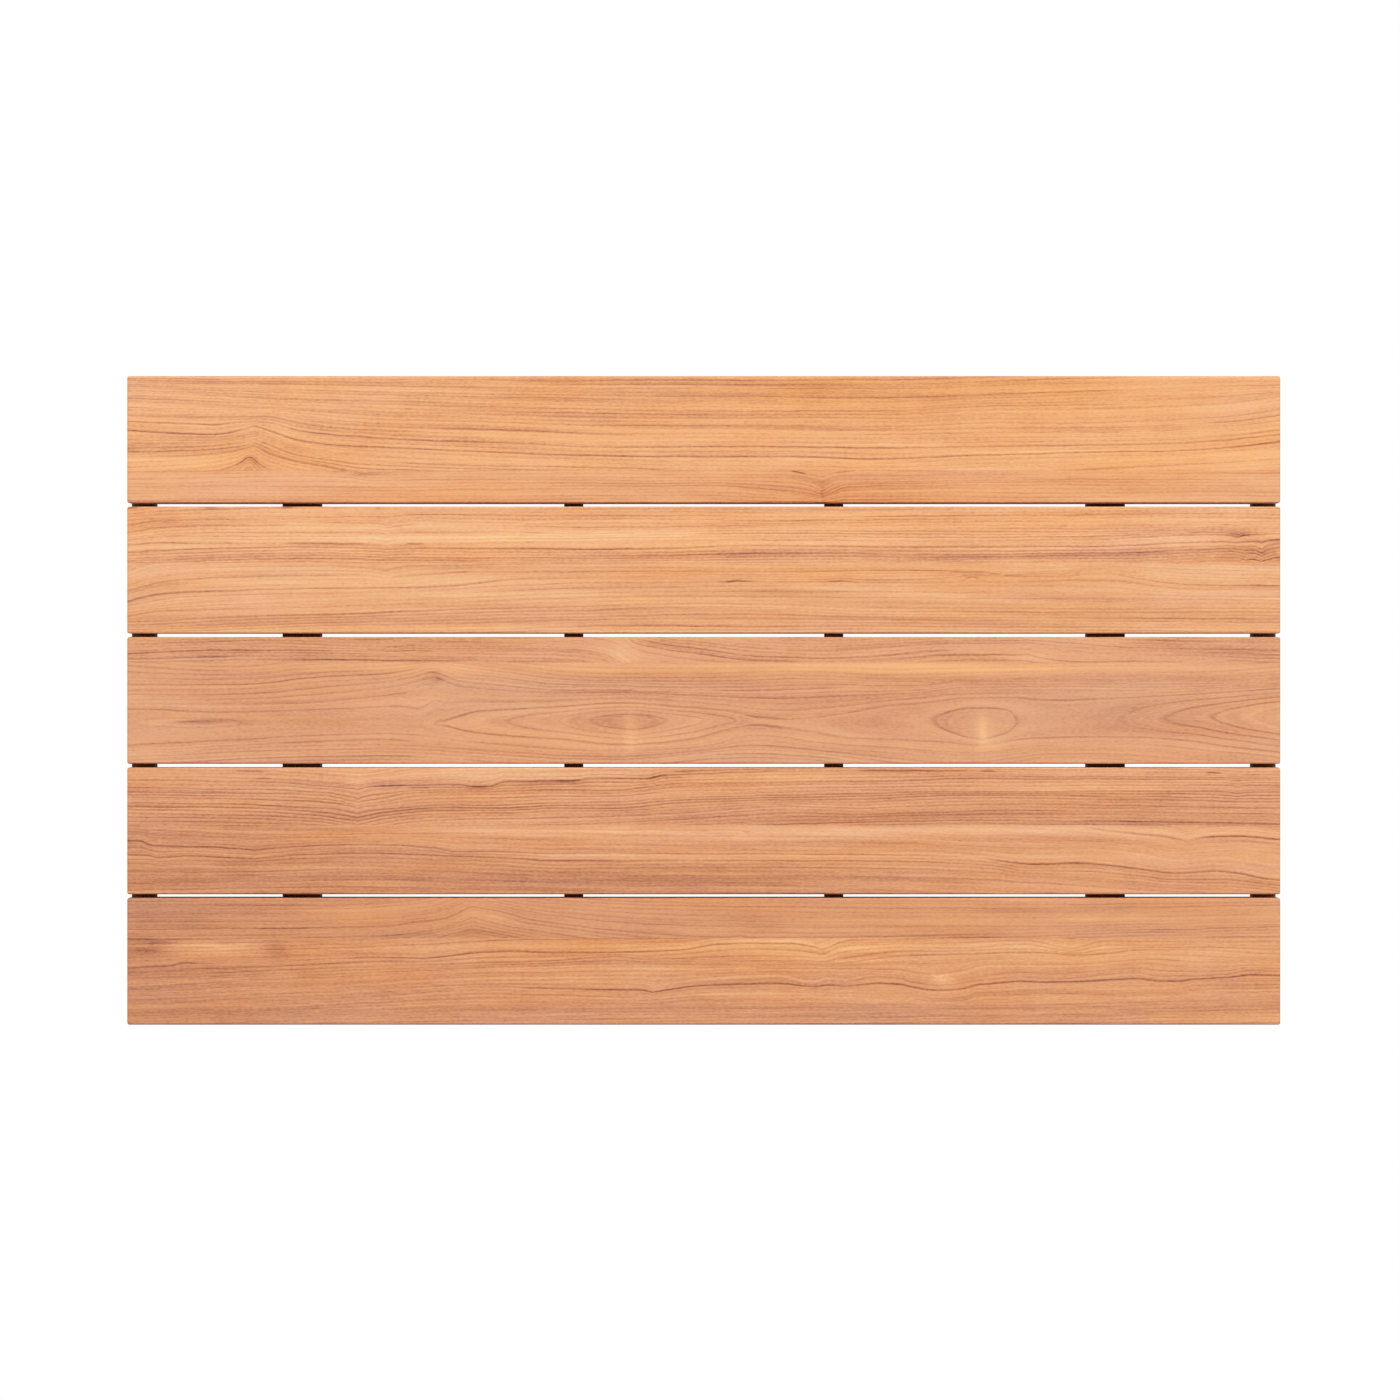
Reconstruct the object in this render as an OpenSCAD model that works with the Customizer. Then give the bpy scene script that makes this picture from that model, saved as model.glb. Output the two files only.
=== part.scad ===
// Slatted teak bath mat (duckboard): five edge-glued slats screwed from below
// to eight cross battens, which stand on push-in rubber feet. Millimetres.
// X runs along the slats, Y across them, Z up. The origin is on the floor,
// under the middle of the mat. Slat 1 is the one furthest back, at +Y.

/* [Slats] */
// Length of a slat, which is the length of the mat
slat_l = 800; // [700:5:960]
// Width of a slat
slat_w = 88; // [78:1:110]
// Thickness of a slat
slat_t = 18; // [15:0.5:24]
// Drainage gap between two slats
slat_gap = 2.5; // [1.5:0.5:8]
// Rounding of a slat's edges
slat_arris = 1.25; // [0.5:0.25:3]
// Rounding of a slat's corners, seen from above
slat_corner_r = 1.5; // [1:0.5:6]

/* [Glue lines] */
// Width of the back stave in slat 1
back_stave_1 = 65.5; // [15:0.5:73]
// Width of the back stave in slat 2
back_stave_2 = 39.2; // [15:0.2:73]
// Width of the back stave in slat 3
back_stave_3 = 17.7; // [15:0.1:73]
// Width of the back stave in slat 4
back_stave_4 = 40; // [15:0.5:73]
// Width of the back stave in slat 5
back_stave_5 = 27.8; // [15:0.2:73]

/* [Battens] */
// Height of every batten
batten_h = 14; // [10:0.5:22]
// Width of the two end battens
end_batten_w = 16; // [12:0.5:24]
// Width of the middle and twin battens
batten_w = 13; // [10:0.5:18]
// How far an end batten stands in from the slat ends
end_inset = 0.5; // [0:0.5:20]
// Distance of each twin pair from the middle of the mat
twin_x = 281; // [180:0.5:300]
// Gap between the two battens of a twin pair
twin_gap = 0.5; // [0.2:0.1:5]
// Distance of each middle batten from the middle of the mat
middle_x = 91; // [40:0.5:140]
// How far the batten ends stand in from the mat's long sides
batten_setback = 2; // [0:0.5:5]
// Rounding of a batten's lower edges
batten_arris = 1.5; // [0.5:0.25:3]

/* [Screws] */
// Diameter of the countersunk wood screws
screw_d = 3.5; // [3:0.5:4.5]
// Diameter of a screw's head
screw_head_d = 7; // [6:0.5:8.5]
// How deep the screws bite into a slat
screw_bite = 12; // [8:0.5:13]
// How far a screw head is sunk below the batten's face
head_sink = 1; // [0.5:0.25:2]
// Distance of each screw from the slat's long edge
screw_edge = 13; // [10:0.5:16]
// Radial clearance of a screw in the batten
shank_clear = 0.25; // [0.1:0.05:0.5]
// Radial clearance of a screw in its pilot hole
pilot_clear = 0.05; // [0.02:0.01:0.2]

/* [Feet] */
// How far the feet hold the battens off the floor
foot_h = 3; // [2:0.5:6]
// How far a foot's rim stands in from the sides of a narrow batten
foot_margin = 0.5; // [0.25:0.25:2]
// Rounding of a foot's lower rim
foot_rim_r = 1; // [0.5:0.25:1.5]
// Diameter of the stem that holds a foot in its batten
stem_d = 5; // [3:0.5:6]
// Length of that stem
stem_l = 7; // [4:0.5:8]

/* [Hidden] */
$fn = 48;

back_staves = [back_stave_1, back_stave_2, back_stave_3, back_stave_4, back_stave_5];
slat_count = len(back_staves);
slat_pitch = slat_w + slat_gap;
mat_w = slat_count * slat_w + (slat_count - 1) * slat_gap;

// Heights of the faces where feet, battens and slats meet
batten_z = foot_h;
slat_z = batten_z + batten_h;

// Where the battens stand along X, counted from the middle of the mat
end_x = slat_l / 2 - end_inset - end_batten_w / 2;
twin_half = (batten_w + twin_gap) / 2;
inner_x = twin_x - twin_half;
outer_x = twin_x + twin_half;

// Rows of screws in a slat: 1 is the row near its back edge, -1 near its front
pair = [1, -1];
back_row = [1];
front_row = [-1];

// Each batten's place along X and the rows in which it is screwed. The twins
// take one row each, so that a pair holds every slat at both its edges.
batten_layout = [
    [-end_x, pair], [-outer_x, back_row], [-inner_x, front_row], [-middle_x, pair],
    [middle_x, pair], [inner_x, front_row], [outer_x, back_row], [end_x, pair],
];

// Every second slat stands over a row of feet
footed_slats = [0, 2, 4];

screw_l = batten_h - head_sink + screw_bite;
head_h = (screw_head_d - screw_d) / 2;
point_l = 4;
point_d = 0.8;
recess_l = 3.6;
recess_w = 0.8;
recess_depth = 1.2;
pilot_spare = 1;
stem_spare = 1;
foot_d = batten_w - 2 * foot_margin;
cut_over = 1;

teak = "#dba36f";
teak_back = "#c98f5c";
steel = "#b9bcc0";
rubber = "#2c2b2a";

// Middle of a slat along Y; slat 0 is the one furthest back
function slat_y(slat) = mat_w / 2 - slat_w / 2 - slat * slat_pitch;

function screw_y(slat, row) = slat_y(slat) + row * (slat_w / 2 - screw_edge);

// A rectangle about the origin with rounded corners
module rounded(w, h, r) {
    square([w - 2 * r, h], center = true);
    square([w, h - 2 * r], center = true);
    for (x = [-1, 1], y = [-1, 1])
        translate([x * (w / 2 - r), y * (h / 2 - r)]) circle(r);
}

// A slat about the origin: rounded seen from above, from its end and its side
module slat_blank() {
    intersection() {
        translate([0, 0, -slat_t / 2])
            linear_extrude(slat_t) rounded(slat_l, slat_w, slat_corner_r);
        rotate([90, 0, 90])
            linear_extrude(slat_l, center = true) rounded(slat_w, slat_t, slat_arris);
        rotate([90, 0, 0])
            linear_extrude(slat_w, center = true) rounded(slat_l, slat_t, slat_arris);
    }
}

// One stave of a slat, cut off at the glue line, with the screws' pilot holes
module stave(slat, is_back) {
    back_w = back_staves[slat];
    stave_w = is_back ? back_w : slat_w - back_w;
    middle_y = is_back ? (slat_w - back_w) / 2 : -back_w / 2;
    color(is_back ? teak : teak_back)
    difference() {
        translate([0, slat_y(slat), slat_z + slat_t / 2])
            intersection() {
                slat_blank();
                translate([0, middle_y, 0])
                    cube([slat_l + cut_over, stave_w, slat_t + cut_over], center = true);
            }
        for (batten = batten_layout, row = batten[1])
            translate([batten[0], screw_y(slat, row), slat_z - cut_over])
                cylinder(h = screw_bite + pilot_spare + cut_over, d = screw_d + 2 * pilot_clear);
    }
}

// A batten seen from its end: its lower edges are rounded and its upper ones
// are square, where it meets the slats
module batten_section(w) {
    translate([0, batten_h / 2])
        rounded(w, batten_h, batten_arris);
    translate([-w / 2, batten_h / 2])
        square([w, batten_h / 2]);
}

// A cross batten with its countersunk screw holes and blind holes for the feet
module batten(x, w, rows) {
    color(teak_back)
    difference() {
        translate([x, 0, batten_z]) rotate([90, 0, 0])
            linear_extrude(mat_w - 2 * batten_setback, center = true) batten_section(w);
        for (slat = [0 : slat_count - 1], row = rows)
            translate([x, screw_y(slat, row), batten_z]) countersunk_hole();
        for (slat = footed_slats)
            translate([x, slat_y(slat), batten_z - cut_over])
                cylinder(h = stem_l + stem_spare + cut_over, d = stem_d);
    }
}

// A screw hole up through a batten, from the batten's lower face
module countersunk_hole() {
    translate([0, 0, -cut_over])
        cylinder(h = head_sink + cut_over, d = screw_head_d);
    translate([0, 0, head_sink])
        cylinder(h = head_h, d1 = screw_head_d, d2 = screw_d);
    cylinder(h = batten_h + cut_over, d = screw_d + 2 * shank_clear);
}

// A countersunk wood screw pointing up, with its head's face at the origin
module screw() {
    difference() {
        union() {
            cylinder(h = head_h, d1 = screw_head_d, d2 = screw_d);
            cylinder(h = screw_l - point_l, d = screw_d);
            translate([0, 0, screw_l - point_l])
                cylinder(h = point_l, d1 = screw_d, d2 = point_d);
        }
        for (turn = [0, 90])
            rotate([0, 0, turn])
                cube([recess_l, recess_w, 2 * recess_depth], center = true);
    }
}

// The screws that hold one batten to the slats
module screws(x, rows) {
    color(steel)
    for (slat = [0 : slat_count - 1], row = rows)
        translate([x, screw_y(slat, row), batten_z + head_sink]) screw();
}

// A push-in foot standing on the origin: a disc with a rounded rim and a stem
module foot() {
    rotate_extrude() {
        translate([0, foot_rim_r]) square([foot_d / 2, foot_h - foot_rim_r]);
        square([foot_d / 2 - foot_rim_r, foot_h]);
        intersection() {
            translate([foot_d / 2 - foot_rim_r, foot_rim_r]) circle(foot_rim_r);
            square([foot_d / 2, foot_h]);
        }
        square([stem_d / 2, foot_h + stem_l]);
    }
}

// The feet pushed into one batten
module feet(x) {
    color(rubber)
    for (slat = footed_slats)
        translate([x, slat_y(slat), 0]) foot();
}

stave(0, true);  // slat_1_back_stave
stave(0, false);  // slat_1_front_stave
stave(1, true);  // slat_2_back_stave
stave(1, false);  // slat_2_front_stave
stave(2, true);  // slat_3_back_stave
stave(2, false);  // slat_3_front_stave
stave(3, true);  // slat_4_back_stave
stave(3, false);  // slat_4_front_stave
stave(4, true);  // slat_5_back_stave
stave(4, false);  // slat_5_front_stave

batten(-end_x, end_batten_w, pair);  // left_end_batten
batten(-outer_x, batten_w, back_row);  // left_outer_twin_batten
batten(-inner_x, batten_w, front_row);  // left_inner_twin_batten
batten(-middle_x, batten_w, pair);  // left_middle_batten
batten(middle_x, batten_w, pair);  // right_middle_batten
batten(inner_x, batten_w, front_row);  // right_inner_twin_batten
batten(outer_x, batten_w, back_row);  // right_outer_twin_batten
batten(end_x, end_batten_w, pair);  // right_end_batten

screws(-end_x, pair);  // left_end_screws
screws(-outer_x, back_row);  // left_outer_twin_screws
screws(-inner_x, front_row);  // left_inner_twin_screws
screws(-middle_x, pair);  // left_middle_screws
screws(middle_x, pair);  // right_middle_screws
screws(inner_x, front_row);  // right_inner_twin_screws
screws(outer_x, back_row);  // right_outer_twin_screws
screws(end_x, pair);  // right_end_screws

feet(-end_x);  // left_end_feet
feet(-outer_x);  // left_outer_twin_feet
feet(-inner_x);  // left_inner_twin_feet
feet(-middle_x);  // left_middle_feet
feet(middle_x);  // right_middle_feet
feet(inner_x);  // right_inner_twin_feet
feet(outer_x);  // right_outer_twin_feet
feet(end_x);  // right_end_feet
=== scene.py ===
import math
import bpy
import numpy as np
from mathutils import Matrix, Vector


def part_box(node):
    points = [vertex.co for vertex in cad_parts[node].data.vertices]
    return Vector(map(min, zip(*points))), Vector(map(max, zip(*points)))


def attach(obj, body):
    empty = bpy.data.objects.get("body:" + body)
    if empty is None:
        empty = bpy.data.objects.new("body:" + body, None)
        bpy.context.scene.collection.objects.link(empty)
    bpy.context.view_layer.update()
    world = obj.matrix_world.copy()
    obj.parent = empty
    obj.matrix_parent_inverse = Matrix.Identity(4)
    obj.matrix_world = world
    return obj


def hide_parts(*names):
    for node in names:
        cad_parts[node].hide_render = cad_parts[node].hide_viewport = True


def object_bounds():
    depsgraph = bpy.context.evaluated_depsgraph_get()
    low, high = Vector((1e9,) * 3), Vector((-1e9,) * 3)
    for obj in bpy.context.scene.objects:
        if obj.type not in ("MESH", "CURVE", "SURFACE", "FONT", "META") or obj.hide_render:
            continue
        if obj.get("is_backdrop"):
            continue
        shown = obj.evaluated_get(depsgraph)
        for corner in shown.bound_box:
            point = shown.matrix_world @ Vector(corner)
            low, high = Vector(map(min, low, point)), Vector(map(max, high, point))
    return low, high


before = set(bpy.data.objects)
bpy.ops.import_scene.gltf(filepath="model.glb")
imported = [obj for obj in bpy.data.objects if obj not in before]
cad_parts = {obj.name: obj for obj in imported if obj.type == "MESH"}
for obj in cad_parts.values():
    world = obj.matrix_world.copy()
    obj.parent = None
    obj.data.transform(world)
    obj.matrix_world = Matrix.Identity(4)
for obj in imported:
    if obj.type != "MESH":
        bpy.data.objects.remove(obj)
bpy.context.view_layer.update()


# ---------------------------------------------------------------------------------------------
# Slats: five planed teak boards, each glued up edge to edge from two flat-sawn staves. The long
# outer edges, the ends and the corners are sanded round; the glue faces stay square and tight.
# Each stave is its own piece, so the figure stops dead at the glue line as it does in the wood.

MM = 0.001
# Rounding of the long edges and of the upright corners, in millimetres
ARRIS = 1.25
CORNER = 1.5
# Spacing of the mesh, in millimetres, and its stations in from a rounded edge
STEP_X = 1.6
STEP_Y = 1.05
STEP_Z = 4.0
EDGE_STEPS = (0.0, 0.4, 0.8, 1.25, 1.9)
# How fast the rings are crossed going down into the board
RINGS_PER_MM_DEEP = 0.28
# Narrowest and widest ring that a line is drawn for, in millimetres
RING_MM = (0.6, 9.0)
# Strength of the faintest line, and how much stronger the boldest unmarked one is
FAINT_LINE = 0.25
LINE_RANGE = 0.38
# How much darker the front arris of a slat is drawn than its face: painted shade, as that rounded edge
# faces away from the light
PAINTED_ARRIS_SHADE = 0.3
CRACK = "#5c2f1c"


def linear(colour):
    """An sRGB hex colour as the linear RGBA that shaders use."""
    srgb = np.array([int(colour[i:i + 2], 16) for i in (1, 3, 5)]) / 255
    rgb = np.where(srgb > 0.04045, ((srgb + 0.055) / 1.055) ** 2.4, srgb / 12.92)
    return (*rgb.tolist(), 1.0)


def through(knots, values, at):
    """A smooth curve through (knots, values), read off at `at`. Between two knots it is a cubic; the
    slope at a knot is the harmonic mean of the chords beside it, and nought where they change sign."""
    step = np.maximum(np.diff(knots, axis=0), 0.3)
    chord = np.diff(values, axis=0) / step
    product = chord[1:] * chord[:-1]
    total = np.where(product > 0, chord[1:] + chord[:-1], 1.0)
    slope = np.concatenate([chord[:1], np.where(product > 0, 2 * product / total, 0.0), chord[-1:]])
    result = values[0] + slope[0] * (at - knots[0])
    for k in range(len(step)):
        t = (at - knots[k]) / step[k]
        cubic = (values[k] * (1 + 2 * t) * (1 - t) ** 2 + values[k + 1] * t * t * (3 - 2 * t)
                 + step[k] * t * (1 - t) * (slope[k] * (1 - t) - slope[k + 1] * t))
        result = np.where(at > knots[k], cubic, result)
    return np.where(at > knots[-1], values[-1] + slope[-1] * (at - knots[-1]), result)


def waves(rng, count, *axes):
    """Smooth noise of about unit size: a sum of `count` sine waves whose wave numbers along each
    (coordinate, wavelength) axis are drawn from a normal distribution, with free phases."""
    total = 0.0
    for _ in range(count):
        phase = rng.uniform(0, 2 * math.pi)
        for coordinate, wavelength in axes:
            phase = phase + coordinate * (2 * math.pi / wavelength) * rng.normal()
        total = total + np.sin(phase)
    return total / math.sqrt(count / 2)


def stations(low, high, step, round_low=True, round_high=True):
    """Places from low to high about `step` apart, and closer in where an edge is rounded."""
    near = np.array(EDGE_STEPS)
    start = low + near if round_low else np.array([low])
    end = high - near[::-1] if round_high else np.array([high])
    count = max(2, round((end[0] - start[-1]) / step) + 1)
    return np.concatenate([start[:-1], np.linspace(start[-1], end[0], count), end[1:]])


def lattice_skin(shape):
    """The outside of a box of lattice points: the three indices of each point on the skin, and the
    quads over its six faces, counted from those points and turned outwards."""
    index = np.indices(shape)
    last = np.array(shape).reshape(3, 1, 1, 1) - 1
    skin = ((index == 0) | (index == last)).any(0)
    number = np.full(shape, -1)
    number[skin] = np.arange(skin.sum())
    quads = []
    for axis in range(3):
        for side in (0, -1):
            sheet = np.take(number, side, axis=axis)
            quad = np.stack([sheet[:-1, :-1], sheet[1:, :-1], sheet[1:, 1:], sheet[:-1, 1:]], -1)
            outward = (side == -1) == (axis != 1)
            quads.append((quad if outward else quad[..., ::-1]).reshape(-1, 4))
    return index[:, skin], np.concatenate(quads)


def to_disc(a, b):
    """Draws the square |a|, |b| <= r into the disc of radius r, ring by ring, along its rays."""
    length = np.hypot(a, b)
    scale = np.maximum(np.abs(a), np.abs(b)) / np.where(length > 0, length, 1)
    return a * scale, b * scale


def round_off(points, low, high):
    """Rounds a box's skin: first its upright edges to CORNER, seen from above, and then its upper
    and lower edges to ARRIS, each by drawing the square cross-section of the edge into a disc."""
    core = np.clip(points, low + [CORNER, CORNER, ARRIS], high - [CORNER, CORNER, ARRIS])
    out_x, out_y = to_disc(*(points - core)[:, :2].T)
    reach = np.hypot(out_x, out_y)
    beyond = np.maximum(reach - (CORNER - ARRIS), 0)
    pulled, up = to_disc(beyond, points[:, 2] - core[:, 2])
    shrink = np.where(reach > 0, (reach - beyond + pulled) / np.where(reach > 0, reach, 1), 0)
    return core + np.stack([out_x * shrink, out_y * shrink, up], 1)


def ring_field(x, across, guides, kinks, rng):
    """The number of the growth ring at each place (x, across) of the upper face. Each guide is a
    ring's course over the board, smooth through points chosen along it, with the ring's number,
    which may itself change along a cathedral's middle. Between guides the number runs smoothly.
    A kink (x, across, lift, width, reach) draws the rings aside by lift millimetres round a knot,
    most at its x, and dies away over width along the board and reach across it."""
    places, numbers = [], []
    for number, course in guides:
        points = np.array(course, float)
        places.append(through(points[:, 0], points[:, 1], x))
        if np.ndim(number):
            points = np.array(number, float)
            numbers.append(through(points[:, 0], points[:, 1], x))
        else:
            numbers.append(np.full(len(x), float(number)))
    at_x, at_v = np.meshgrid(x, across, indexing="ij")
    moved = at_v.copy()
    for knot_x, knot_v, lift, width, reach in kinks:
        fall = np.exp(-np.abs(at_x - knot_x) / width - ((at_v - knot_v) / reach) ** 2)
        moved -= lift * fall
    moved += 0.10 * waves(rng, 14, (at_x, 40), (at_v, 8)) + 0.22 * waves(rng, 10, (at_x, 190), (at_v, 26))
    return through(np.array(places)[:, :, None], np.array(numbers)[:, :, None], moved)


def spot(x, v, place):
    """A soft oval: one at its middle (x, across), and a Gaussian of the two half sizes around it."""
    return np.exp(-((x - place[0]) / place[2]) ** 2 - ((v - place[1]) / place[3]) ** 2)


def window(x, start, end):
    """One between start and end, nought outside, with soft shoulders."""
    shoulder = min(14.0, (end - start) / 3)
    return np.clip(np.minimum(x - start, end - x) / shoulder, 0, 1)


def mesh_piece(name, vertices, faces, material, smooth_angle):
    """A mesh object from points in metres and faces, shaded smooth below the given angle."""
    mesh = bpy.data.meshes.new(name)
    mesh.from_pydata(vertices.tolist(), [], faces.tolist())
    mesh.polygons.foreach_set("use_smooth", np.ones(len(mesh.polygons), bool))
    mesh.set_sharp_from_angle(angle=smooth_angle)
    mesh.materials.append(material)
    piece = bpy.data.objects.new(name, mesh)
    bpy.context.scene.collection.objects.link(piece)
    return piece


def add(tree, kind, sockets=None, **settings):
    """Adds a node to a material, sets its properties, and fills or links its input sockets."""
    node = tree.nodes.new(kind)
    for key, value in settings.items():
        setattr(node, key, value)
    for key, value in (sockets or {}).items():
        if isinstance(value, bpy.types.NodeSocket):
            tree.links.new(value, node.inputs[key])
        else:
            node.inputs[key].default_value = value
    return node


def oiled_teak(name, dark, middle, light):
    """Flat-sawn teak, planed, sanded and oiled. What the eye gets: warm orange-brown wood that darkens
    towards each thin latewood line and is pale again after it, open pores as fine dark dashes along
    the grain, and a low satin sheen. The mesh carries the ring number, the width of a ring in
    millimetres, how dark each line is, how light the wood is (with painted shade on the front arris
    of a slat) and how orange."""
    material = bpy.data.materials.new(name)
    material.use_nodes = True
    tree = material.node_tree
    tree.nodes.clear()
    ring = add(tree, "ShaderNodeAttribute", attribute_name="ring").outputs["Fac"]
    ring_mm = add(tree, "ShaderNodeAttribute", attribute_name="ring_mm").outputs["Fac"]
    line = add(tree, "ShaderNodeAttribute", attribute_name="line").outputs["Fac"]
    tone_and_arris_shade = add(tree, "ShaderNodeAttribute", attribute_name="tone_and_arris_shade").outputs["Fac"]
    warmth = add(tree, "ShaderNodeAttribute", attribute_name="warmth").outputs["Fac"]
    place = add(tree, "ShaderNodeTexCoord").outputs["Object"]
    along = add(tree, "ShaderNodeSeparateXYZ", {0: place}).outputs["X"]

    # How far each point lies from the nearest latewood line, in millimetres, before or after it
    nearest = add(tree, "ShaderNodeMath", {0: ring}, operation="ROUND").outputs[0]
    part = add(tree, "ShaderNodeMath", {0: ring, 1: nearest}, operation="SUBTRACT").outputs[0]
    offset = add(tree, "ShaderNodeMath", {0: part, 1: ring_mm}, operation="MULTIPLY").outputs[0]
    distance = add(tree, "ShaderNodeMath", {0: offset}, operation="ABSOLUTE").outputs[0]
    width = add(tree, "ShaderNodeMath", {0: line, 1: 0.6, 2: 0.55}, operation="MULTIPLY_ADD").outputs[0]
    core = add(tree, "ShaderNodeMapRange",
               {"Value": distance, "From Min": 0.0, "From Max": width, "To Min": 1.0, "To Max": 0.0},
               interpolation_type="SMOOTHSTEP").outputs[0]
    before = add(tree, "ShaderNodeMapRange",
                 {"Value": offset, "From Min": -2.0, "From Max": 0.0, "To Min": 0.0, "To Max": 1.0},
                 interpolation_type="SMOOTHSTEP").outputs[0]
    after = add(tree, "ShaderNodeMapRange",
                {"Value": offset, "From Min": 0.1, "From Max": 0.6, "To Min": 1.0, "To Max": 0.0},
                interpolation_type="SMOOTHSTEP").outputs[0]
    shadow = add(tree, "ShaderNodeMath", {0: before, 1: after}, operation="MULTIPLY").outputs[0]

    # Lines waver in strength along the grain: noise 40 mm long that follows the rings
    run = add(tree, "ShaderNodeMath", {0: along, 1: 25.0}, operation="MULTIPLY").outputs[0]
    by_ring = add(tree, "ShaderNodeCombineXYZ", {"X": run, "Y": ring}).outputs[0]
    broken = add(tree, "ShaderNodeTexNoise",
                 {"Vector": by_ring, "Scale": 1.0, "Detail": 2.0}).outputs["Fac"]
    hold = add(tree, "ShaderNodeMapRange",
               {"Value": broken, "From Min": 0.35, "From Max": 0.65,
                "To Min": 0.78, "To Max": 1.12}).outputs[0]
    strength = add(tree, "ShaderNodeMath", {0: line, 1: hold}, operation="MULTIPLY").outputs[0]
    line_dark = add(tree, "ShaderNodeMath", {0: core, 1: strength}, operation="MULTIPLY").outputs[0]
    shadow_dark = add(tree, "ShaderNodeMath", {0: shadow, 1: strength}, operation="MULTIPLY").outputs[0]

    # Streaks of lighter and darker wood, 170 mm long and a third of a ring wide, along the rings
    streak_x = add(tree, "ShaderNodeMath", {0: along, 1: 6.0}, operation="MULTIPLY").outputs[0]
    streak_y = add(tree, "ShaderNodeMath", {0: ring, 1: 3.0}, operation="MULTIPLY").outputs[0]
    streak_at = add(tree, "ShaderNodeCombineXYZ", {"X": streak_x, "Y": streak_y}).outputs[0]
    streak = add(tree, "ShaderNodeTexNoise",
                 {"Vector": streak_at, "Scale": 1.0, "Detail": 4.0, "Roughness": 0.6}).outputs["Fac"]

    # Fibres are drawn 14 mm long and 1.1 mm apart, coarser than the real 0.1 mm, so that they show,
    # with specks 3 mm long between them; pores are 4 mm long and 0.4 mm wide
    fibre_at = add(tree, "ShaderNodeMapping", {"Vector": place, "Scale": (70, 900, 900)}).outputs[0]
    fibre = add(tree, "ShaderNodeTexNoise",
                {"Vector": fibre_at, "Scale": 1.0, "Detail": 3.0, "Roughness": 0.65}).outputs["Fac"]
    speck_at = add(tree, "ShaderNodeMapping", {"Vector": place, "Scale": (330, 1000, 1000)}).outputs[0]
    speck = add(tree, "ShaderNodeTexNoise",
                {"Vector": speck_at, "Scale": 1.0, "Detail": 1.0}).outputs["Fac"]
    pore_at = add(tree, "ShaderNodeMapping", {"Vector": place, "Scale": (250, 2400, 2400)}).outputs[0]
    pore_noise = add(tree, "ShaderNodeTexNoise",
                     {"Vector": pore_at, "Scale": 1.0, "Detail": 1.0}).outputs["Fac"]
    pore = add(tree, "ShaderNodeMapRange",
               {"Value": pore_noise, "From Min": 0.62, "From Max": 0.7,
                "To Min": 0.0, "To Max": 1.0}).outputs[0]

    # Cross-grain cloudiness, some 20 mm across, as oil soaks in unevenly
    cloud_at = add(tree, "ShaderNodeMapping", {"Vector": place, "Scale": (45, 60, 60)}).outputs[0]
    cloud = add(tree, "ShaderNodeTexNoise",
                {"Vector": cloud_at, "Scale": 1.0, "Detail": 3.0}).outputs["Fac"]

    shade = add(tree, "ShaderNodeMath", {0: tone_and_arris_shade, 1: 0.66}, operation="ADD").outputs[0]
    # Each source counts from its usual value, so that it leaves the mean shade as it was
    sources = [(streak, 0.46, 0.5), (fibre, 0.3, 0.5), (speck, 0.36, 0.5), (cloud, 0.14, 0.5),
               (pore, -0.14, 0.1), (shadow_dark, -0.12, 0.0), (line_dark, -0.26, 0.0)]
    for source, amount, usual in sources:
        centred = add(tree, "ShaderNodeMath", {0: source, 1: usual}, operation="SUBTRACT").outputs[0]
        shade = add(tree, "ShaderNodeMath", {0: centred, 1: amount, 2: shade},
                    operation="MULTIPLY_ADD").outputs[0]
    ramp = add(tree, "ShaderNodeValToRGB", {"Fac": shade})
    stops = ramp.color_ramp.elements
    stops[0].position = 0.0
    stops[0].color = linear(CRACK)
    stops[1].position = 1.0
    stops[1].color = linear(light)
    stops.new(0.22).color = linear(dark)
    stops.new(0.6).color = linear(middle)
    saturation = add(tree, "ShaderNodeMath", {0: warmth, 1: 0.05, 2: 1.0},
                     operation="MULTIPLY_ADD").outputs[0]
    colour = add(tree, "ShaderNodeHueSaturation",
                 {"Saturation": saturation, "Color": ramp.outputs["Color"]}).outputs[0]

    grooves = add(tree, "ShaderNodeMath", {0: pore, 1: -0.5, 2: fibre}, operation="MULTIPLY_ADD").outputs[0]
    bump = add(tree, "ShaderNodeBump", {"Height": grooves, "Strength": 0.14, "Distance": 0.0002}).outputs[0]
    rough = add(tree, "ShaderNodeMapRange",
                {"Value": streak, "From Min": 0.3, "From Max": 0.7,
                 "To Min": 0.5, "To Max": 0.62}).outputs[0]
    shader = add(tree, "ShaderNodeBsdfPrincipled",
                 {"Base Color": colour, "Roughness": rough, "Normal": bump, "IOR": 1.5})
    add(tree, "ShaderNodeOutputMaterial", {"Surface": shader.outputs[0]})
    return material


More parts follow.
